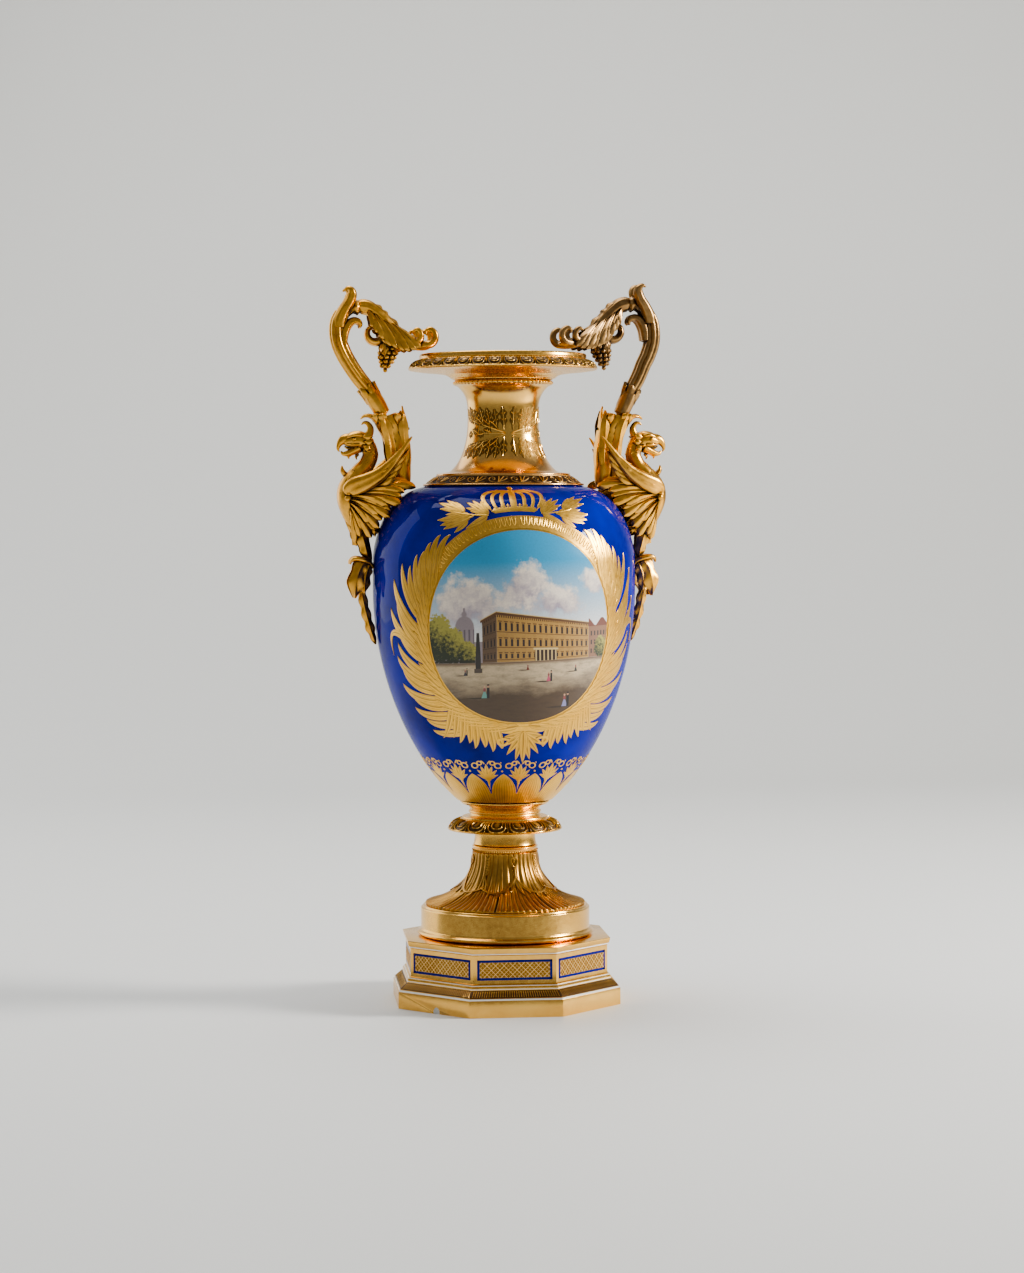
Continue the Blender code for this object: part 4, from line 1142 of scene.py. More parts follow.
# Its gilding is rubbed and rosy above the frieze, with two brown spots from the firing.
neck_gold = gilt("neck gilding", (0.94, 0.58, 0.170), (0.82, 0.47, 0.13), 0.17, 0.31)
shader = neck_gold.node_tree.nodes["Principled BSDF"]
place = laid(neck_gold.node_tree, "ShaderNodeTexCoord", output="Object")
height = laid(neck_gold.node_tree, "ShaderNodeSeparateXYZ", (place,))["Z"]
worn = blended(ranged(height, 0.634, 0.610, 0.0, 0.6), Wire(shader.inputs["Base Color"].links[0].from_socket),
               (0.84, 0.47, 0.22))
for centre, size in (((-22.0, -54.7, 609.7), 2.8), ((-8.4, -58.4, 607.7), 2.5)):
    reach = laid(neck_gold.node_tree, "ShaderNodeVectorMath", (place, [MM * value for value in centre]),
                 "Value", operation="DISTANCE")
    worn = blended(ranged(reach, 1.3 * size * MM, 0.6 * size * MM, 0.0, 0.8), worn, (0.30, 0.10, 0.03))
fed(neck_gold, {"Base Color": worn})
dressed(piece_from("neck", turned(neck_profile, 200), neck_gold, 30.0), "neck")


def rib(across, share):
    """One bead of the ribbed ring, with the groove beside it."""
    return (1.0 - math.cos(0.5 * math.pi * across) ** 0.5) * math.sin(math.pi * share)


rib_profile = arched((55.0, NECK_TOP - 0.2), (55.0, 705.4), 3.0, 12) + [(52.0, 705.4), (52.0, NECK_TOP - 0.2)]
moulded("neck_ring", rib_profile, NECK_RIBS, 10, rib, 1.5, burnished_gold)

FRIEZE_LINES = [([bezier(spine, i / 30) for i in range(31)], half) for *spine, half in (
    ((-8.6, -2.6), (-12.4, 2.5), (-8.0, 8.0), (-0.8, 5.0), (-1.8, -2.2), (-5.4, -1.6), 1.0),
    ((-8.6, -2.6), (-5.4, -6.8), (3.0, -6.4), (11.0, -5.4), 1.0),
    ((1.0, -4.6), (1.6, 0.5), (1.0, 5.6), 1.3), ((1.4, -4.6), (4.6, 0.5), (6.2, 5.2), 1.3),
    ((1.8, -4.6), (7.0, -2.5), (10.6, 2.2), 1.3), ((6.0, 5.6), (9.0, 6.0), (11.6, 4.4), 0.8))]


def frieze(across, share):
    """A scroll with a dot in it and a spread of three leaves, drawn in thin ridges on a sunk ground."""
    x, y = 12.4 * across, 15.8 * (0.5 - share)
    ridges = [ridge_of(min(math.hypot(x - a, y - b) for a, b in line), half) for line, half in FRIEZE_LINES]
    ridges += [ridge_of(math.hypot(x + 5.8, y - 1.6), 1.6), ridge_of(share, 0.08), ridge_of(1.0 - share, 0.08)]
    return 1.0 - max(ridges)


frieze_profile = arched((77.6, 601.9), (90.4, 592.7), 0.25, 26) + [(88.6, 592.0), (77.0, 600.2)]
frieze_gold = gilt("frieze gilding", (0.80, 0.50, 0.18), (0.60, 0.35, 0.11), 0.28, 0.5,
                   dirt_and_shade=(0.045, 0.020, 0.008), amount=1.0)
moulded("neck_frieze", frieze_profile, FRIEZE_REPEATS, 50, frieze, 0.9, frieze_gold)


def on_neck(u, height, lift):
    """A place on the neck: along its wall and up, lifted off it."""
    radius = throat(height)
    return ((radius + lift) * math.sin(u / radius), -(radius + lift) * math.cos(u / radius), height)


def oak_width(share):
    """A lobed leaf, widest past its middle."""
    return math.sin(math.pi * share ** 1.15) ** 0.6 * (0.80 + 0.20 * math.cos(6.0 * math.pi * share))


oak, oak_veins = bmesh.new(), bmesh.new()
veined = partial(stroke, oak_veins, on_neck, shape=ribbon_width, columns=3)
for side in (-1, 1):
    for stem in (((3, 650), (20, 656), (38, 663), (62, 668)), ((3, 649), (22, 642), (42, 636), (64, 633)),
                 ((3, 649.5), (24, 650), (40, 650))):
        veined([(side * u, z) for u, z in stem], 0.6, steps=16, lift=0.16)
    leaves = [((5 + 8.2 * i, 653 + 1.7 * i), (7 + 9.6 * i, 679 + 1.8 * math.cos(2.4 * i))) for i in range(7)]
    leaves += [((12 + 8.4 * i, 654 + 1.6 * i), (24 + 8.8 * i, 665 + 1.6 * i)) for i in range(5)]
    leaves += [((5 + 8.2 * i, 647 - 1.6 * i), (8 + 9.6 * i, 622 + 1.6 * math.cos(2.1 * i))) for i in range(7)]
    leaves += [((12 + 8.4 * i, 645 - 1.4 * i), (24 + 8.8 * i, 635 - 1.4 * i)) for i in range(5)]
    leaves += [((20 + 9 * i, 650), (30 + 9 * i, 651 + 3 * (-1) ** i)) for i in range(4)]
    for (u0, z0), (u1, z1) in leaves:
        spine = [(side * u, z) for u, z in ((u0, z0), (0.75 * u0 + 0.25 * u1, 0.4 * z0 + 0.6 * z1), (u1, z1))]
        stroke(oak, on_neck, spine, 5.0, shape=oak_width, steps=30, lift=0.08)
        veined(spine, 0.42, steps=8, lift=0.30)
        for share in (0.35, 0.6):                      # side veins
            x, y = bezier(spine, share)
            for turn in (-1, 1):
                away = Vector((y - spine[2][1], spine[2][0] - x)).normalized() * turn * 3.2
                veined(((x, y), (x + 0.5 * away.x, y + 0.5 * away.y + (z1 - z0) * 0.05),
                        (x + away.x, y + away.y + (z1 - z0) * 0.13)), 0.3, steps=4, lift=0.28)
closed_piece("neck_oak", oak, gilt("matt oak gilding", (0.24, 0.14, 0.040), (0.16, 0.09, 0.025), 0.42, 0.6))
closed_piece("neck_oak_veins", oak_veins, burnished_gold)


# ======================================================================= mouth
# The wide everted mouth, a gilded dish that opens into the neck, with an egg-and-dart edge and a plain
# raised lip on which the handles rest.
MOUTH_REACH, _, MOUTH_TOP = (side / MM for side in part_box("mouth")[1])
MOUTH_EGGS = 36
MOUTH_START = -93.5
mouth_profile = softened([
    (36.2, 711.4), (38.2, 716.0), (46.0, 720.2), (57.0, 724.2), (68.0, 727.2), (78.0, 730.0),
    (88.0, 734.6), (92.2, 738.6), *bow((92.6, MOUTH_TOP - 1.0), (96.0, MOUTH_TOP - 1.0), 1.3, 8),
    (96.2, 736.6), (96.0, 735.4)])
mouth_profile += arched((96.8, 735.0), (MOUTH_REACH - 0.3, 724.9), 2.6, 30)
mouth_profile += softened([
    (MOUTH_REACH - 0.2, 724.2), (MOUTH_REACH - 1.4, 723.0), (98.0, 721.6), (84.0, 720.4), (73.0, 719.0),
    *bow((71.6, 718.7), (60.0, 713.6), -1.2, 8), (57.6, 713.0), (57.2, 712.0), (55.8, 711.4)])
moulded("mouth", mouth_profile, MOUTH_EGGS, 22, egg_and_dart, 1.7, moulded_gold, MOUTH_START,
        nodes=("mouth",))


# ======================================================================= handles
# Two gilt-bronze castings a side, chased and mercury-gilt, patinated brown in the hollows, where painted shade
# darkens them too. Below, a griffin whose breast, wings and acanthus grow out of a leaf cup; above, a scroll
# that stands in the cup and reaches over the rim. They are drawn as (reach from the axis, across, height).
CAST_TURN = 4.5              # the right handle was bolted on slightly turned ...
RIGHT_OUT = 1.8              # ... and each stands this far out
LEFT_OUT = 0.6
ormolu = gilt("gilt bronze", (0.90, 0.50, 0.11), (0.70, 0.35, 0.06), 0.26, 0.46,
              dirt_and_shade=(0.040, 0.018, 0.006), amount=0.97, unevenness=0.12)
dull_ormolu = gilt("rubbed gilt bronze", (0.47, 0.29, 0.12), (0.30, 0.17, 0.07), 0.30, 0.48,
                   dirt_and_shade=(0.035, 0.018, 0.009), amount=0.97, unevenness=0.12)


def smooth_run(stations, steps):
    """More stations on a smooth curve through the given ones, value by value."""
    def at(t, p, q, r, s):
        return 0.5 * (2 * q + (r - p) * t + (2 * p - 5 * q + 4 * r - s) * t * t
                      + (3 * q - p - 3 * r + s) * t ** 3)

    ends = [stations[0], *stations, stations[-1]]
    run = [tuple(at(i / steps, *values) for values in zip(*four))
           for four in zip(ends, ends[1:], ends[2:], ends[3:]) for i in range(steps)]
    return run + [tuple(stations[-1])]


def fluted(count, depth):
    """A section of rounded ribs with sharp valleys between."""
    return lambda angle, share: 1.0 - depth * (1.0 - abs(math.cos(0.5 * count * angle)) ** 0.8)


def strand(bm, stations, sides=14, steps=4, section=None, dome=0.45):
    """A closed bar through stations of (reach, across, height, half thickness, half width across).

    Its section is a count and depth of flutes, or a rule. Its far end is domed, or hollowed by a
    negative dome.
    """
    run = smooth_run(stations, steps)
    last = len(run) - 1
    size_at = fluted(*section) if isinstance(section, tuple) else section or (lambda angle, share: 1.0)
    rings = []
    for i, (*centre, thick, wide) in enumerate(run):
        centre = Vector(centre)
        along = (Vector(run[min(i + 1, last)][:3]) - Vector(run[max(i - 1, 0)][:3])).normalized()
        sideways = (Vector((0, 1, 0)) - along * along.y).normalized()
        outward = sideways.cross(along)
        rings.append([])
        for k in range(sides):
            angle = 2.0 * math.pi * k / sides
            size = size_at(angle, i / last)
            rings[-1].append(bm.verts.new(centre + outward * (thick * math.cos(angle) * size)
                                          + sideways * (wide * math.sin(angle) * size)))
        if i in (0, last):
            tip = [bm.verts.new(centre + along * (min(thick, wide) * (dome if i else -0.45)))]
            rings.insert(len(rings) if i else 0, tip)
    hooped(bm, rings)


def frond(bm, spine, half_width, facing, lobes=3, cup=0.35, thick=1.4, steps=18, columns=8, sweep=0.9,
          body=0.55):
    """An acanthus leaf along a curve, ribbed and rounded back at its edges; with no lobes, one finger of it."""
    front, back = [], []
    for i in range(steps + 1):
        share = i / steps
        middle = Vector(bezier(spine, share))
        along = (Vector(bezier(spine, min(share + 0.02, 1.0)))
                 - Vector(bezier(spine, max(share - 0.02, 0.0)))).normalized()
        side = along.cross(Vector(facing)).normalized()
        face = side.cross(along)
        lobe = 0.5 - 0.5 * math.cos(2.0 * math.pi * lobes * share) if lobes else min(1.0, 1.5 * share)
        taper = min(1.0, 0.45 + 1.6 * share) * min(1.0, (1.0 - share) * (3.4 if lobes else 5.0) + 0.05) ** 0.6
        width = half_width * taper * (body + (1.0 - body) * lobe ** 0.8)
        front.append([])
        back.append([])
        for j in range(columns + 1):
            across = 2.0 * j / columns - 1.0
            b = abs(across)
            swept = sweep * half_width * b * b * min(1.0, 3.0 * (1.0 - share) + 0.2) * share ** 0.5
            raised = half_width * (0.20 * (lobe - 0.5) * b ** 0.6 - cup * b * b + 0.14 * ridge_of(across, 0.26))
            spot = middle + side * (across * width) + along * swept + face * raised
            front[-1].append(bm.verts.new(spot))
            back[-1].append(bm.verts.new(spot - face * thick * (1.15 - 0.5 * b)))
    sandwiched(bm, front, back)


def bead(bm, place, radius, rounds=2, squash=(1, 1, 1)):
    """A small round lump."""
    bmesh.ops.create_icosphere(bm, subdivisions=rounds, radius=radius,
                               matrix=Matrix.Translation(place) @ Matrix.Diagonal((*squash, 1.0)))


def tools(bm, side=1, moved=lambda point: point):
    """A bar and a leaf for one side of a casting; a bar's stations may leave out `across` in the middle."""
    def bar(stations, *manner, **more):
        run = [moved((r, side * (a[0] if a else 0), h, thick, wide)) for r, *a, h, thick, wide in stations]
        strand(bm, run, *manner, **more)

    def leaf(spine, half_width, facing, lobes=3, **more):
        frond(bm, [moved((r, side * a, h)) for r, a, h in spine], half_width,
              (facing[0], side * facing[1], facing[2]), lobes, **more)
    return bar, leaf


def cast_griffin(bm):
    """Leaf cup on its trunk, griffin with head, neck and breast, wings, acanthus and hanging leaf."""
    bar, leaf = tools(bm)
    bar([(115, 587, 6, 8), (116, 597, 9.5, 10.5), (119, 620, 12.6, 12.1), (121, 640, 12.6, 12.1),
         (126, 651, 13.2, 12.6), (131, 660, 14.4, 15), (134.5, 667.5, 14.6, 15.4), (135.6, 670.4, 13.6, 14.4)],
        32, 5, (6, 0.05), dome=-0.7)
    bar([(130, 632, 3.5, 8), (135.5, 647, 4.4, 9), (141, 659, 4.6, 9.4), (147, 667, 3.8, 8.6),
         (154, 670.6, 2.8, 7), (160, 670.2, 2.0, 4.4), (164, 667.2, 0.9, 1.6)], 24, 5, (6, 0.10))
    bar([(109.5, 604, 1.4, 5), (108.6, 619, 2.6, 8.4), (109.8, 634, 3.4, 9.6), (112.4, 648, 3.8, 9.8),
         (114.4, 660, 3.4, 8.4), (115.0, 671, 2.5, 5.6), (116.4, 682, 0.9, 1.2)], 24, 5, (6, 0.08))
    # neck, head, open beak and crest
    bar([(176, 588, 12, 14), (167.5, 603.5, 10.4, 11.7), (158, 614, 9.6, 9.6), (153, 626, 9.2, 8.8),
         (156, 637, 9.2, 8.8)], 28, 8, (14, 0.025))
    for k in range(9):                                 # jagged collar under the head
        turn = 2.0 * math.pi * k / 9
        out, over = math.cos(turn), math.sin(turn)
        leaf([(r + 9.3 * s * out, 8.9 * s * over, h + 2.2 * out) for r, h, s in (
            (155.0, 636.5, 0.95), (153.8, 631.5, 1.02), (153.4, 627.5, 1.03))],
            3.2, (out, over, 0), 1, cup=0.2, thick=0.8, steps=8, columns=4, sweep=0.1, body=0.6)
    bar([(154, 634, 7, 7), (157.5, 639.5, 9.6, 9.4), (165, 642.6, 10.8, 10.4), (172, 642.8, 10.2, 9.8),
         (178, 641.8, 7.8, 7.6), (183, 640.6, 4.4, 4.6)], 28)
    bar([(173, 643.0, 6.6, 7.4), (180, 644.0, 6.4, 6.2), (185.2, 642.2, 5.2, 4.6), (188.8, 637.6, 3.2, 3.0),
         (190.0, 632.8, 1.8, 1.6), (188.4, 629.6, 0.6, 0.6)], 18)
    bar([(166, 634, 6, 7.6), (173, 630.2, 4.6, 5.6), (180, 627.4, 3.4, 4.0), (184.6, 627.6, 2.2, 2.6),
         (186.6, 630.2, 0.9, 1.1)], 16)
    bar([(171, 635, 2.4, 2.6), (178, 633.4, 1.6, 2.0), (182.5, 635.6, 0.8, 0.9)], 10)      # tongue
    bar([(158, 645, 5.4, 5.2), (153.8, 650.5, 4.6, 4.4), (152.8, 657, 3.6, 3.4), (156.4, 662.2, 2.6, 2.4),
         (160.6, 662.6, 1.6, 1.6), (163.0, 660.4, 0.6, 0.6)], 16)
    for root, tip, thick in (((175, 627), (177.4, 621.4), 2.2), ((167, 627), (168.4, 620.6), 2.0),
                             ((163.6, 611.5), (170.4, 615), 2.4), ((180.4, 602), (185.4, 613.5), 3.4)):
        middle = (0.6 * tip[0] + 0.4 * root[0] + 1.6, 0.5 * (root[1] + tip[1]))
        bar([(*root, thick, 1.2 * thick), (*middle, 0.8 * thick, thick), (*tip, 0.25 * thick, 0.3 * thick)], 8)
    # breast, falling into leaf tips
    bar([(170, 606, 7.6, 10.5), (177.6, 590, 11.8, 16), (180, 575, 11.4, 17), (175.6, 557, 9.2, 13),
         (172, 545, 5.6, 7.5), (171.6, 533, 3.6, 4)], 32, 6, (12, 0.05))
    leaf(((183, 0, 560), (182, 0, 545), (173, 0, 538), (173.2, 0, 523)), 8.5, (1, 0, 0.1), sweep=0.6)
    # hanging stalk and the core of the tail
    bar([(172, 556, 7.6, 8.6), (164.5, 540, 7.0, 7.4), (160, 524, 6.2, 6.4), (157, 508, 5.8, 6.4),
         (160.5, 492, 6.4, 9), (163, 476, 4.2, 6), (160, 455, 2.8, 4.4), (154, 432, 2.0, 2.6),
         (149, 414, 0.9, 1.2)], 20, 5, (10, 0.10))
    for side in (-1, 1):
        bar, leaf = tools(bm, side)
        # petals of the cup, with a dark slit between them, lapped at the rim
        for *spine, half in (((127, 9, 596), (131, 13, 632), (132, 14.5, 655), (142, 16.5, 672), 6.6),
                             ((117, 8, 596), (112, 13, 630), (118, 13.5, 655), (117, 14.5, 677), 6.2)):
            leaf(spine, half, (0.1, 1, 0.0), 2, cup=0.30, thick=1.6, steps=20, sweep=0.25, body=0.86)
        for reach, across, over in ((147, 11, 1.6), (140.5, 15.6, 2.0), (124, 15.4, 1.8)):
            leaf(((reach - 1, across - 2.6, 661), (reach, across - 0.4, 668),
                  (reach + 0.4, across + over, 672.6)), 5.0, (0.3, 1, 0.4), 1, steps=8, columns=4, sweep=0.1,
                 body=0.9)
        bead(bm, (172.6, side * 9.2, 643.6), 2.2)      # eye, and under it brow, cheek and tufts
        bar([(163, 8.6, 647.5, 1.8, 2.0), (170, 9.2, 648.6, 2.4, 2.4), (177, 7.4, 646.6, 1.4, 1.6),
             (180.5, 5.4, 644.6, 0.8, 1.0)], 8)
        bar([(167, 9.0, 637.6, 1.7, 1.9), (173, 8.4, 637.6, 1.7, 1.9), (180.5, 5.4, 637.4, 0.9, 1.1)], 8)
        for tip, root in (((150.8, 12.5, 647), (165, 9, 646)), ((149.8, 11.6, 640.5), (163, 9.4, 641)),
                          ((153, 11.0, 631.5), (163, 9.4, 637))):
            middle = [0.5 * (p + q) + out for p, q, out in zip(root, tip, (0, 2.6, 0))]
            leaf((root, middle, tip), 3.4, (0, 1, 0), 1, cup=0.3, thick=1.0, steps=8, columns=4, sweep=0.2,
                 body=0.5)

        def sunk_panel(angle, share):
            """The outer face of the wing's arm, sunk between its edges."""
            outer = side * math.sin(angle) > 0 and 0.06 < share < 0.72
            return 1.0 - 0.26 * ridge_of(math.cos(angle), 0.66) * outer

        # wing: heavy wrist, long arm with a sunk feathered panel, pointed tip past the trunk
        bar([(181, 15.5, 582, 4.5, 4.5), (178.6, 17.5, 586, 9, 6.2), (171, 22, 590.5, 10.8, 7),
             (158, 26.5, 596, 9.8, 6.6), (143, 29, 605, 7.8, 5.4), (129, 30, 619, 5.2, 4.2),
             (118, 30, 633, 3.2, 3.0), (108.6, 30, 646, 0.9, 1.1)], 24, 6, sunk_panel)
        for i in range(6):                             # feathers on the wrist
            r, a, h = root = (171 - 5.2 * i, 27.6 + 0.9 * i, 591 + 2.9 * i)
            leaf((root, (r - 4, a + 1.8, h + 1.6), (r - 8.6, min(a + 1.4, 33.6), h + 5)), 2.9 - 0.2 * i,
                 (0, 1, 0), 1, cup=0.25, thick=0.9, steps=8, columns=4, sweep=0.1, body=0.5)
        for root, tip in (((140, 28, 603), (111.5, 30.5, 633)), ((143, 27, 598), (114.5, 29.5, 624)),
                          ((146, 26, 594), (119, 28.5, 614)), ((150, 25, 590), (125, 28, 605))):
            middle = (0.5 * (root[0] + tip[0]) - 2, 31, 0.5 * (root[2] + tip[2]) - 4)
            leaf((root, middle, tip), 3.8, (0, 1, 0), 1, cup=0.3, sweep=0.1, columns=6, body=0.6)
        # acanthus swept back under the wing: rounded fingers in groups, the groups cut apart by deep gaps
        bar([(174, 8, 585, 9, 8), (162, 11, 577, 13, 8), (150, 12, 573, 12, 7), (139, 10, 580, 8, 6),
             (130, 10, 590, 6, 5)])
        for group, (bowed, *tips) in enumerate((
            (9, (103.6, 20, 594), (103.6, 24, 588.5), (110, 27, 583)),
            (8, (113.5, 28, 576.5), (120.5, 30, 568), (131.5, 30, 566.5)),
            (7, (128, 28, 561.5), (134, 28, 554.5), (144, 27.5, 556)),
            (5, (138.5, 24, 549), (146, 23, 542.5), (154, 22.5, 546.5)),
            (4, (147, 17, 537.5), (154, 16.5, 531.5), (161, 15.5, 537.5)),
            (2, (166, 13, 533), (170.6, 10, 527.5)),
        )):
            for order, tip in enumerate(tips):
                root = (179.5 - 0.3 * group, 18.4 - 0.7 * group, 584 - 3.6 * group - 0.8 * order)
                short = 0.0 if order == 1 or len(tips) < 3 else 0.10
                tip = [t + (r - t) * short for t, r in zip(tip, root)]
                middle = (0.52 * root[0] + 0.48 * tip[0], 0.5 * (root[1] + tip[1]) + 7.5,
                          0.5 * (root[2] + tip[2]) + bowed)
                before = (0.25 * middle[0] + 0.75 * tip[0], tip[1] + 2.2,
                          0.2 * middle[2] + 0.8 * tip[2] + 0.5 * bowed)
                leaf((root, middle, before, tip), 4.9 - 0.15 * group, (0.12, 1, 0.22), 0, cup=0.40, thick=2.0,
                     steps=14, columns=6, sweep=0.35, body=0.42)
        bead(bm, (180.2, side * 17.2, 576.6), 4.2, squash=(1, 0.8, 1))     # boss under the wrist
        # veined leaves over the stalk, the leaves that turn over below them, and the long leaf of the tail
        bar([(151.0, 5, 497, 1.8, 3), (155, 7, 503, 2.8, 5), (163, 9, 506.4, 3.4, 7), (171, 9, 507.8, 3.0, 6),
             (176.0, 8, 505.2, 2.0, 4), (177.2, 7, 501.6, 1.0, 2)])
        leaf(((172, 6, 558), (165, 11, 540), (160, 10, 522), (157, 8, 507)), 7.4, (-0.1, 1, 0), sweep=0.3,
             body=0.8)
        leaf(((168, 7, 545), (156, 12, 540), (149, 11, 541), (145.5, 8, 536)), 6.0, (-0.1, 1, 0), 2)
        leaf(((155, 6, 505), (164, 17, 506), (172, 17, 490), (172.5, 11, 462.5)), 9.6, (0.1, 1, 0.1), 2,
             cup=0.28, thick=2.0, steps=24, sweep=0.45, body=0.8)
        leaf(((153, 6, 503), (157, 16, 500), (163, 15, 486), (161, 9, 468)), 7.6, (-0.1, 1, 0), 2, cup=0.3,
             thick=2.0, sweep=0.5, body=0.75)
        leaf(((166, 3, 490), (164, 6, 458), (156, 5, 432), (148.2, 1.6, 409.5)), 5.8, (0.1, 1, 0.0), 5,
             thick=2.4, steps=30, sweep=0.6, body=0.72)


STEM_FOOT, STEM_BENT, STEM_TOP = 673.5, 728.0, 788.0         # heights
RIM_REACH, BUD_REACH = 77.0, 177.0


def cast_scroll(bend, shift, rise, bm):
    """A scroll whose stem is bent in by bend and whose top is moved in by shift and up by rise."""
    def moved(point):
        reach, across, height, *size = point
        lift = rise * max((reach - RIM_REACH) / (BUD_REACH - RIM_REACH), 0.45)
        return (reach - shift, across, height + lift, *size)

    def moved_stem(point):
        reach, across, height, *size = point
        share = max(min((height - STEM_FOOT) / (STEM_BENT - STEM_FOOT), 1.0), 0.0) ** 1.3
        top = max((height - STEM_FOOT) / (STEM_TOP - STEM_FOOT), 0.0) ** 3
        return (reach - bend * share - (shift - bend) * top, across, height + rise * top, *size)

    bar, leaf = tools(bm, moved=moved_stem)
    bar([(138.5, STEM_FOOT, 7.6, 9), (141, 678, 8, 9.5), (144, 684, 8.4, 10), (150, 693, 8.6, 10.2),
         (155.5, 702, 8.7, 10.5), (162.7, 711.5, 9.1, 10.8), (169, 720.7, 9.2, 11), (174.7, 730, 9.4, 11),
         (180.5, 740, 9.6, 11), (186, 753, 9.8, 11.5), (188, 765, 10, 12), (187.5, 777, 9.6, 12.5),
         (183.5, STEM_TOP, 8.2, 12.6)], 48, 6, (8, 0.17))
    bar([(138.2, 673.2, 8.6, 10), (141, 678, 9.2, 10.8), (144.3, 684, 9.8, 11.3), (149.5, 692.5, 9.8, 11.4),
         (152.5, 697, 9.0, 10.8)], 32, 5, (10, 0.06))
    for angle in range(0, 360, 60):                    # tips of the sheath round the stem
        turn = math.radians(angle + 15)
        out, over = math.cos(turn), math.sin(turn)
        leaf([(r + out * s * 0.9, over * s * 1.05, h - out * s * 0.55) for r, h, s in (
            (147.5, 688, 9.2), (151.0, 695, 10.2), (155.0, 701, 10.2), (157, 704.5, 11.4))],
            4.2, (out, over * 1.2, -0.45 * out), 1, sweep=0.1, steps=10, columns=6, body=0.8)
    bar, leaf = tools(bm, moved=moved)
    # the bud and ring at the head of the stem, then the arch that comes down to the rim
    bar([(173.5, 792.2, 5.4, 6.6), (170, 793.8, 8.2, 9.0), (166.8, 794.6, 9.4, 10.2), (163.8, 795.0, 7.4, 8.4)],
        36, 6, (8, 0.12))
    bar([(165.2, 795.0, 6.2, 7.4), (161, 795.4, 8.6, 9.4), (154, 794.2, 9.0, 10.2), (147.5, 791, 8.2, 10.0)],
        36, 6, (8, 0.12))
    bar([(186, 776, 6, 7), (184, 782, 7, 8), (177.5, 789, 5.8, 7.4), (169, 794, 5.6, 7), (163, 795, 6.2, 7.4),
         (156, 794.5, 7.8, 9), (145.5, 789.5, 8.2, 10), (136.5, 782, 8.2, 10.6), (128, 773, 8, 10.6),
         (118.5, 764, 6.8, 10), (108, 756.8, 5, 8.4), (97, 752.8, 3.8, 7.4), (87, 751.4, 2.8, 7),
         (80, 752, 1.4, 4)], 36, 5, (8, 0.07))
    # leaf behind the arch that rolls up into a volute
    bar([(134, 770, 6, 9), (136, 761, 5.6, 9), (142, 755.2, 5.2, 9), (149.6, 756, 4.6, 8.6),
         (154.2, 761.8, 4.0, 8), (153.4, 768.6, 3.2, 7), (149.4, 771.6, 2.6, 6), (146.2, 769.8, 1.6, 5)],
        28, 5, (8, 0.08))
    for level, girth in enumerate((5.0, 7.8, 9.4, 9.6, 8.6, 6.8, 4.4, 0.6)):       # grapes
        count = max(1, round(girth * 1.05))
        for k in range(count):
            turn = 2.0 * math.pi * (k + 0.5 * (level % 2)) / count
            bead(bm, moved((127.5 + 1.0 * level + girth * math.cos(turn), 1.1 * girth * math.sin(turn),
                            757.0 - 4.9 * level)), 3.3 - 0.06 * level, 1)
    bar([(127.5, 762, 5, 5), (129, 748, 8, 9), (132, 734, 7, 7), (134, 724, 2, 2)], 12)
    for side in (-1, 1):
        bar, leaf = tools(bm, side, moved)
        # the stem's split head: one horn curls up, the other in under the arch
        bar([(187, 7.5, 772, 7, 5.5), (186, 8, 780, 7.6, 5.8), (181, 9, 791, 6.8, 5.8),
             (175.5, 10, 800, 6.2, 5.5), (172.6, 11, 808, 5.8, 5), (173.6, 12, 813.2, 4.4, 4.4),
             (177.6, 12.6, 815.4, 2.6, 3.2), (181, 12.8, 813.6, 1.0, 1.4)], 24, 5, (6, 0.14))
        bar([(182, 4.6, 752, 4.5, 6), (181, 4.6, 764, 5.4, 6.4), (177.4, 4.8, 773, 5.4, 6.2),
             (171.5, 5, 778.4, 4.6, 5.6), (165.6, 5.2, 778.4, 3.8, 4.8), (162.6, 5.2, 774.8, 2.8, 3.8),
             (163.4, 5.2, 771, 1.4, 2.4)], 20, 5, (6, 0.12))
        # leaves laid along the arch, whose fingers hang from it and lie on the rim
        for root, *tips in (
            ((158, 5, 797), (141, 14, 764), (135.5, 16, 757.5), (146.5, 12.5, 770.5)),
            ((152, 5, 795.5), (128.5, 18, 750), (122, 20, 747.5), (133, 15, 752.5)),
            ((144, 5, 790), (114.5, 21, 744.8), (108, 23, 744.2), (119.5, 19, 748.5)),
            ((136, 4, 783), (101, 24, 745.4), (95.6, 24, 747.6), (104.5, 22, 748.5)),
        ):
            for order, tip in enumerate(tips):
                start = (root[0] - 1.2 * order, root[1] + 0.6 * order, root[2] - 1.0 * order)
                middle = (0.55 * start[0] + 0.45 * tip[0] - 2, 13.5, 0.62 * start[2] + 0.38 * tip[2])
                before = (0.3 * middle[0] + 0.7 * tip[0] - 1.5, tip[1] + 0.8,
                          0.35 * middle[2] + 0.65 * tip[2])
                leaf((start, middle, before, tip), 4.9, (-0.1, 1, 0.5), 0, cup=0.40, thick=1.9,
                     steps=14, columns=6, sweep=0.3, body=0.5)
        leaf(((157, 2, 801), (149, 6, 801.5), (139, 6, 793.5), (131, 7, 785)), 6.4, (0.5, 0.5, 1), sweep=0.8)
        leaf(((143, 2, 793), (131, 6, 786.5), (121, 7, 775), (110, 7, 763)), 6.4, (0.3, 0.5, 1), sweep=0.8)
        for tip in ((139.5, 8.5, 741), (136, 11.5, 737.5), (122, 11.5, 741.5)):    # sepals over the grapes
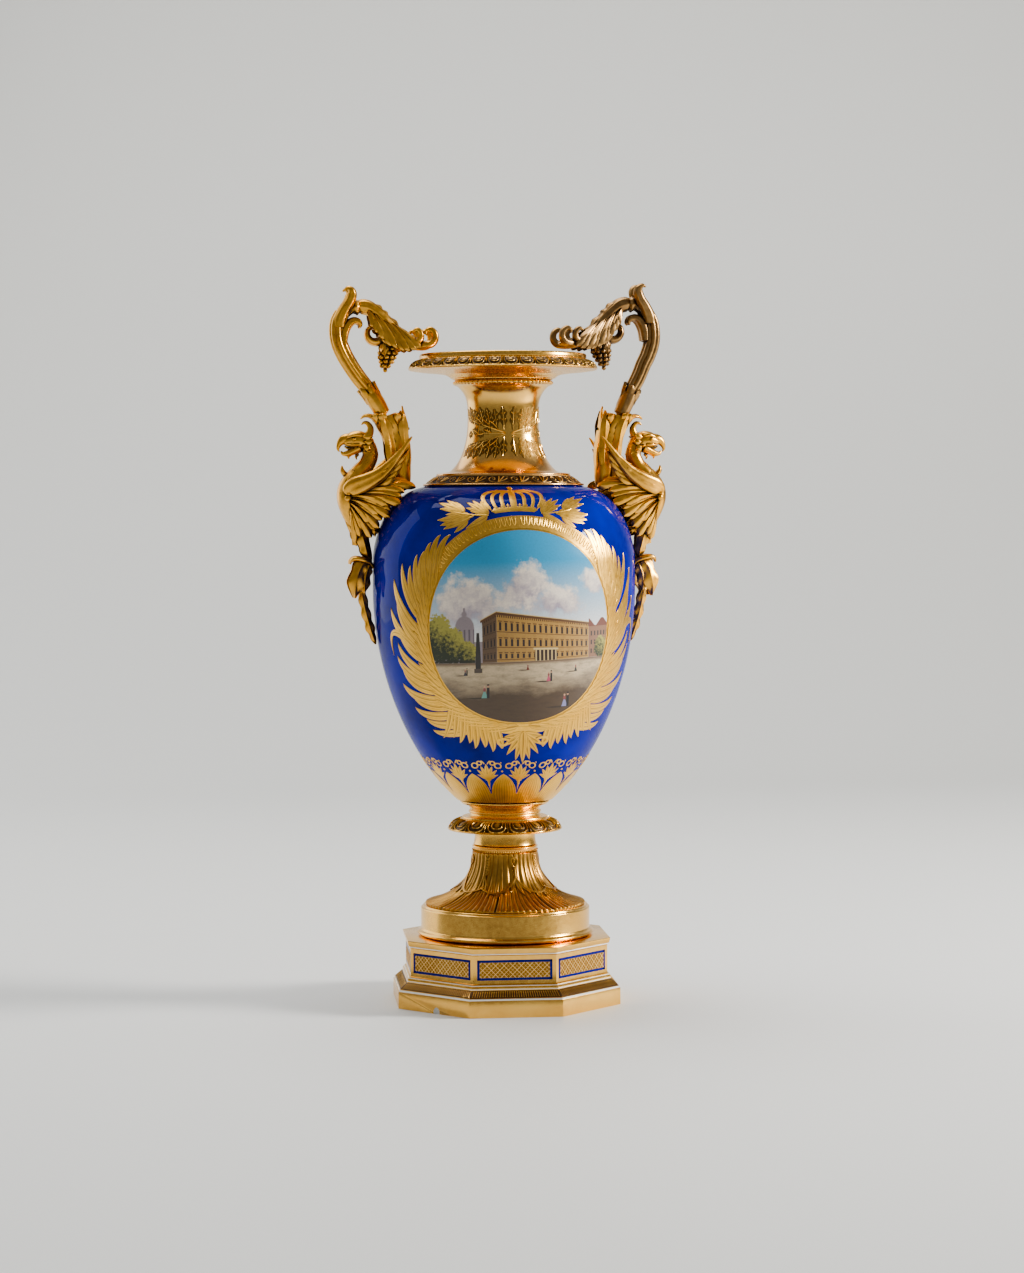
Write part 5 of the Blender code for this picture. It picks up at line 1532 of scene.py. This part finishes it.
            leaf(((130, 5, 762), (0.5 * (130 + tip[0]) + 2.5, 13, 753), tip), 4.6, (0.4, 1, 0.1), 1, cup=0.4,
                 thick=1.3, steps=10, columns=6, sweep=0.2, body=0.7)
        # two volutes that roll up on the rim
        bar([(106, 5, 754, 5.0, 5.4), (97, 12, 751.4, 5.0, 5.6), (90, 17, 751.0, 4.9, 5.2),
             (83, 20.6, 752.2, 4.6, 4.8), (78.9, 21.6, 757.4, 4.3, 4.2), (79.6, 22, 764.4, 3.9, 3.9),
             (84.4, 22, 768.4, 3.3, 3.4), (89.0, 22, 766.4, 2.3, 2.6), (88.8, 22, 762.8, 1.2, 1.5)],
            24, 5, (6, 0.10))
        bar([(108, 9, 756, 4.4, 5), (101, 16, 754, 4.6, 5), (95.6, 19, 757.4, 4.2, 4.6),
             (95.0, 20.4, 764, 3.6, 3.8), (99.2, 21, 768.2, 2.8, 3), (103.6, 21, 766.4, 1.6, 1.9)],
            18, 5, (6, 0.10))


GOLDEN_TURN = 2.4            # spreads rays evenly over a sphere


def dirt_and_shade_in_hollows(bm, reach=9.0, rays=18):
    """Write into `recess` how closed-in each place of a casting is; the gilding is painted darker there, as
    grime and painted shade.
    """
    bm.normal_update()
    shell = BVHTree.FromBMesh(bm)
    recess = bm.verts.layers.float.new("recess")
    spread = [Vector((math.sqrt(1 - z * z) * math.cos(GOLDEN_TURN * k),
                      math.sqrt(1 - z * z) * math.sin(GOLDEN_TURN * k), z))
              for k, z in enumerate(np.linspace(-0.95, 0.95, rays))]
    for vert in bm.verts:
        seen = [way for way in spread if way.dot(vert.normal) > 0.2]
        start = vert.co + vert.normal * 0.3
        hits = sum(shell.ray_cast(start, way, reach)[0] is not None for way in seen)
        vert[recess] = min(1.35 * hits / max(len(seen), 1), 1.0)


def casting(name, draw, material, placing):
    """One bronze casting, drawn, stood in its place and given its patina and painted shade in the hollows."""
    bm = bmesh.new()
    draw(bm)
    bmesh.ops.transform(bm, matrix=placing, verts=bm.verts)
    bmesh.ops.recalc_face_normals(bm, faces=bm.faces)
    dirt_and_shade_in_hollows(bm)
    dressed(piece_from(name, bm, material, 50.0), name, slot="gilt_bronze")


dark_iron = finish("dark iron", (0.02, 0.02, 0.022), 0.45, 1.0)
left_place = Matrix.Scale(-1.0, 4, (1, 0, 0)) @ Matrix.Translation((LEFT_OUT, 0, 0))
right_place = Matrix.Rotation(math.radians(CAST_TURN), 4, "Z") @ Matrix.Translation((RIGHT_OUT, 0, 0))
for handle, place, scroll_gold, bend, shift, rise in (
    ("handle_left", left_place, ormolu, -1.75, -1.75, 0.0),
    ("handle_right", right_place, dull_ormolu, 8.0, 15.5, 6.4),
):
    casting(f"{handle}_griffin", cast_griffin, ormolu, place)
    casting(f"{handle}_scroll", partial(cast_scroll, bend, shift, rise), scroll_gold, place)
    screw = bmesh.new()
    bmesh.ops.create_cone(screw, cap_ends=True, segments=20, radius1=1.7, radius2=1.3, depth=2.6,
                          matrix=place @ Matrix.Translation((109.2, 0, 656)) @ Matrix.Rotation(
                              math.radians(-90.0), 4, "Y"))
    dressed(piece_from(f"{handle}_screw", screw, dark_iron), f"{handle}_screw", slot="dark_iron")
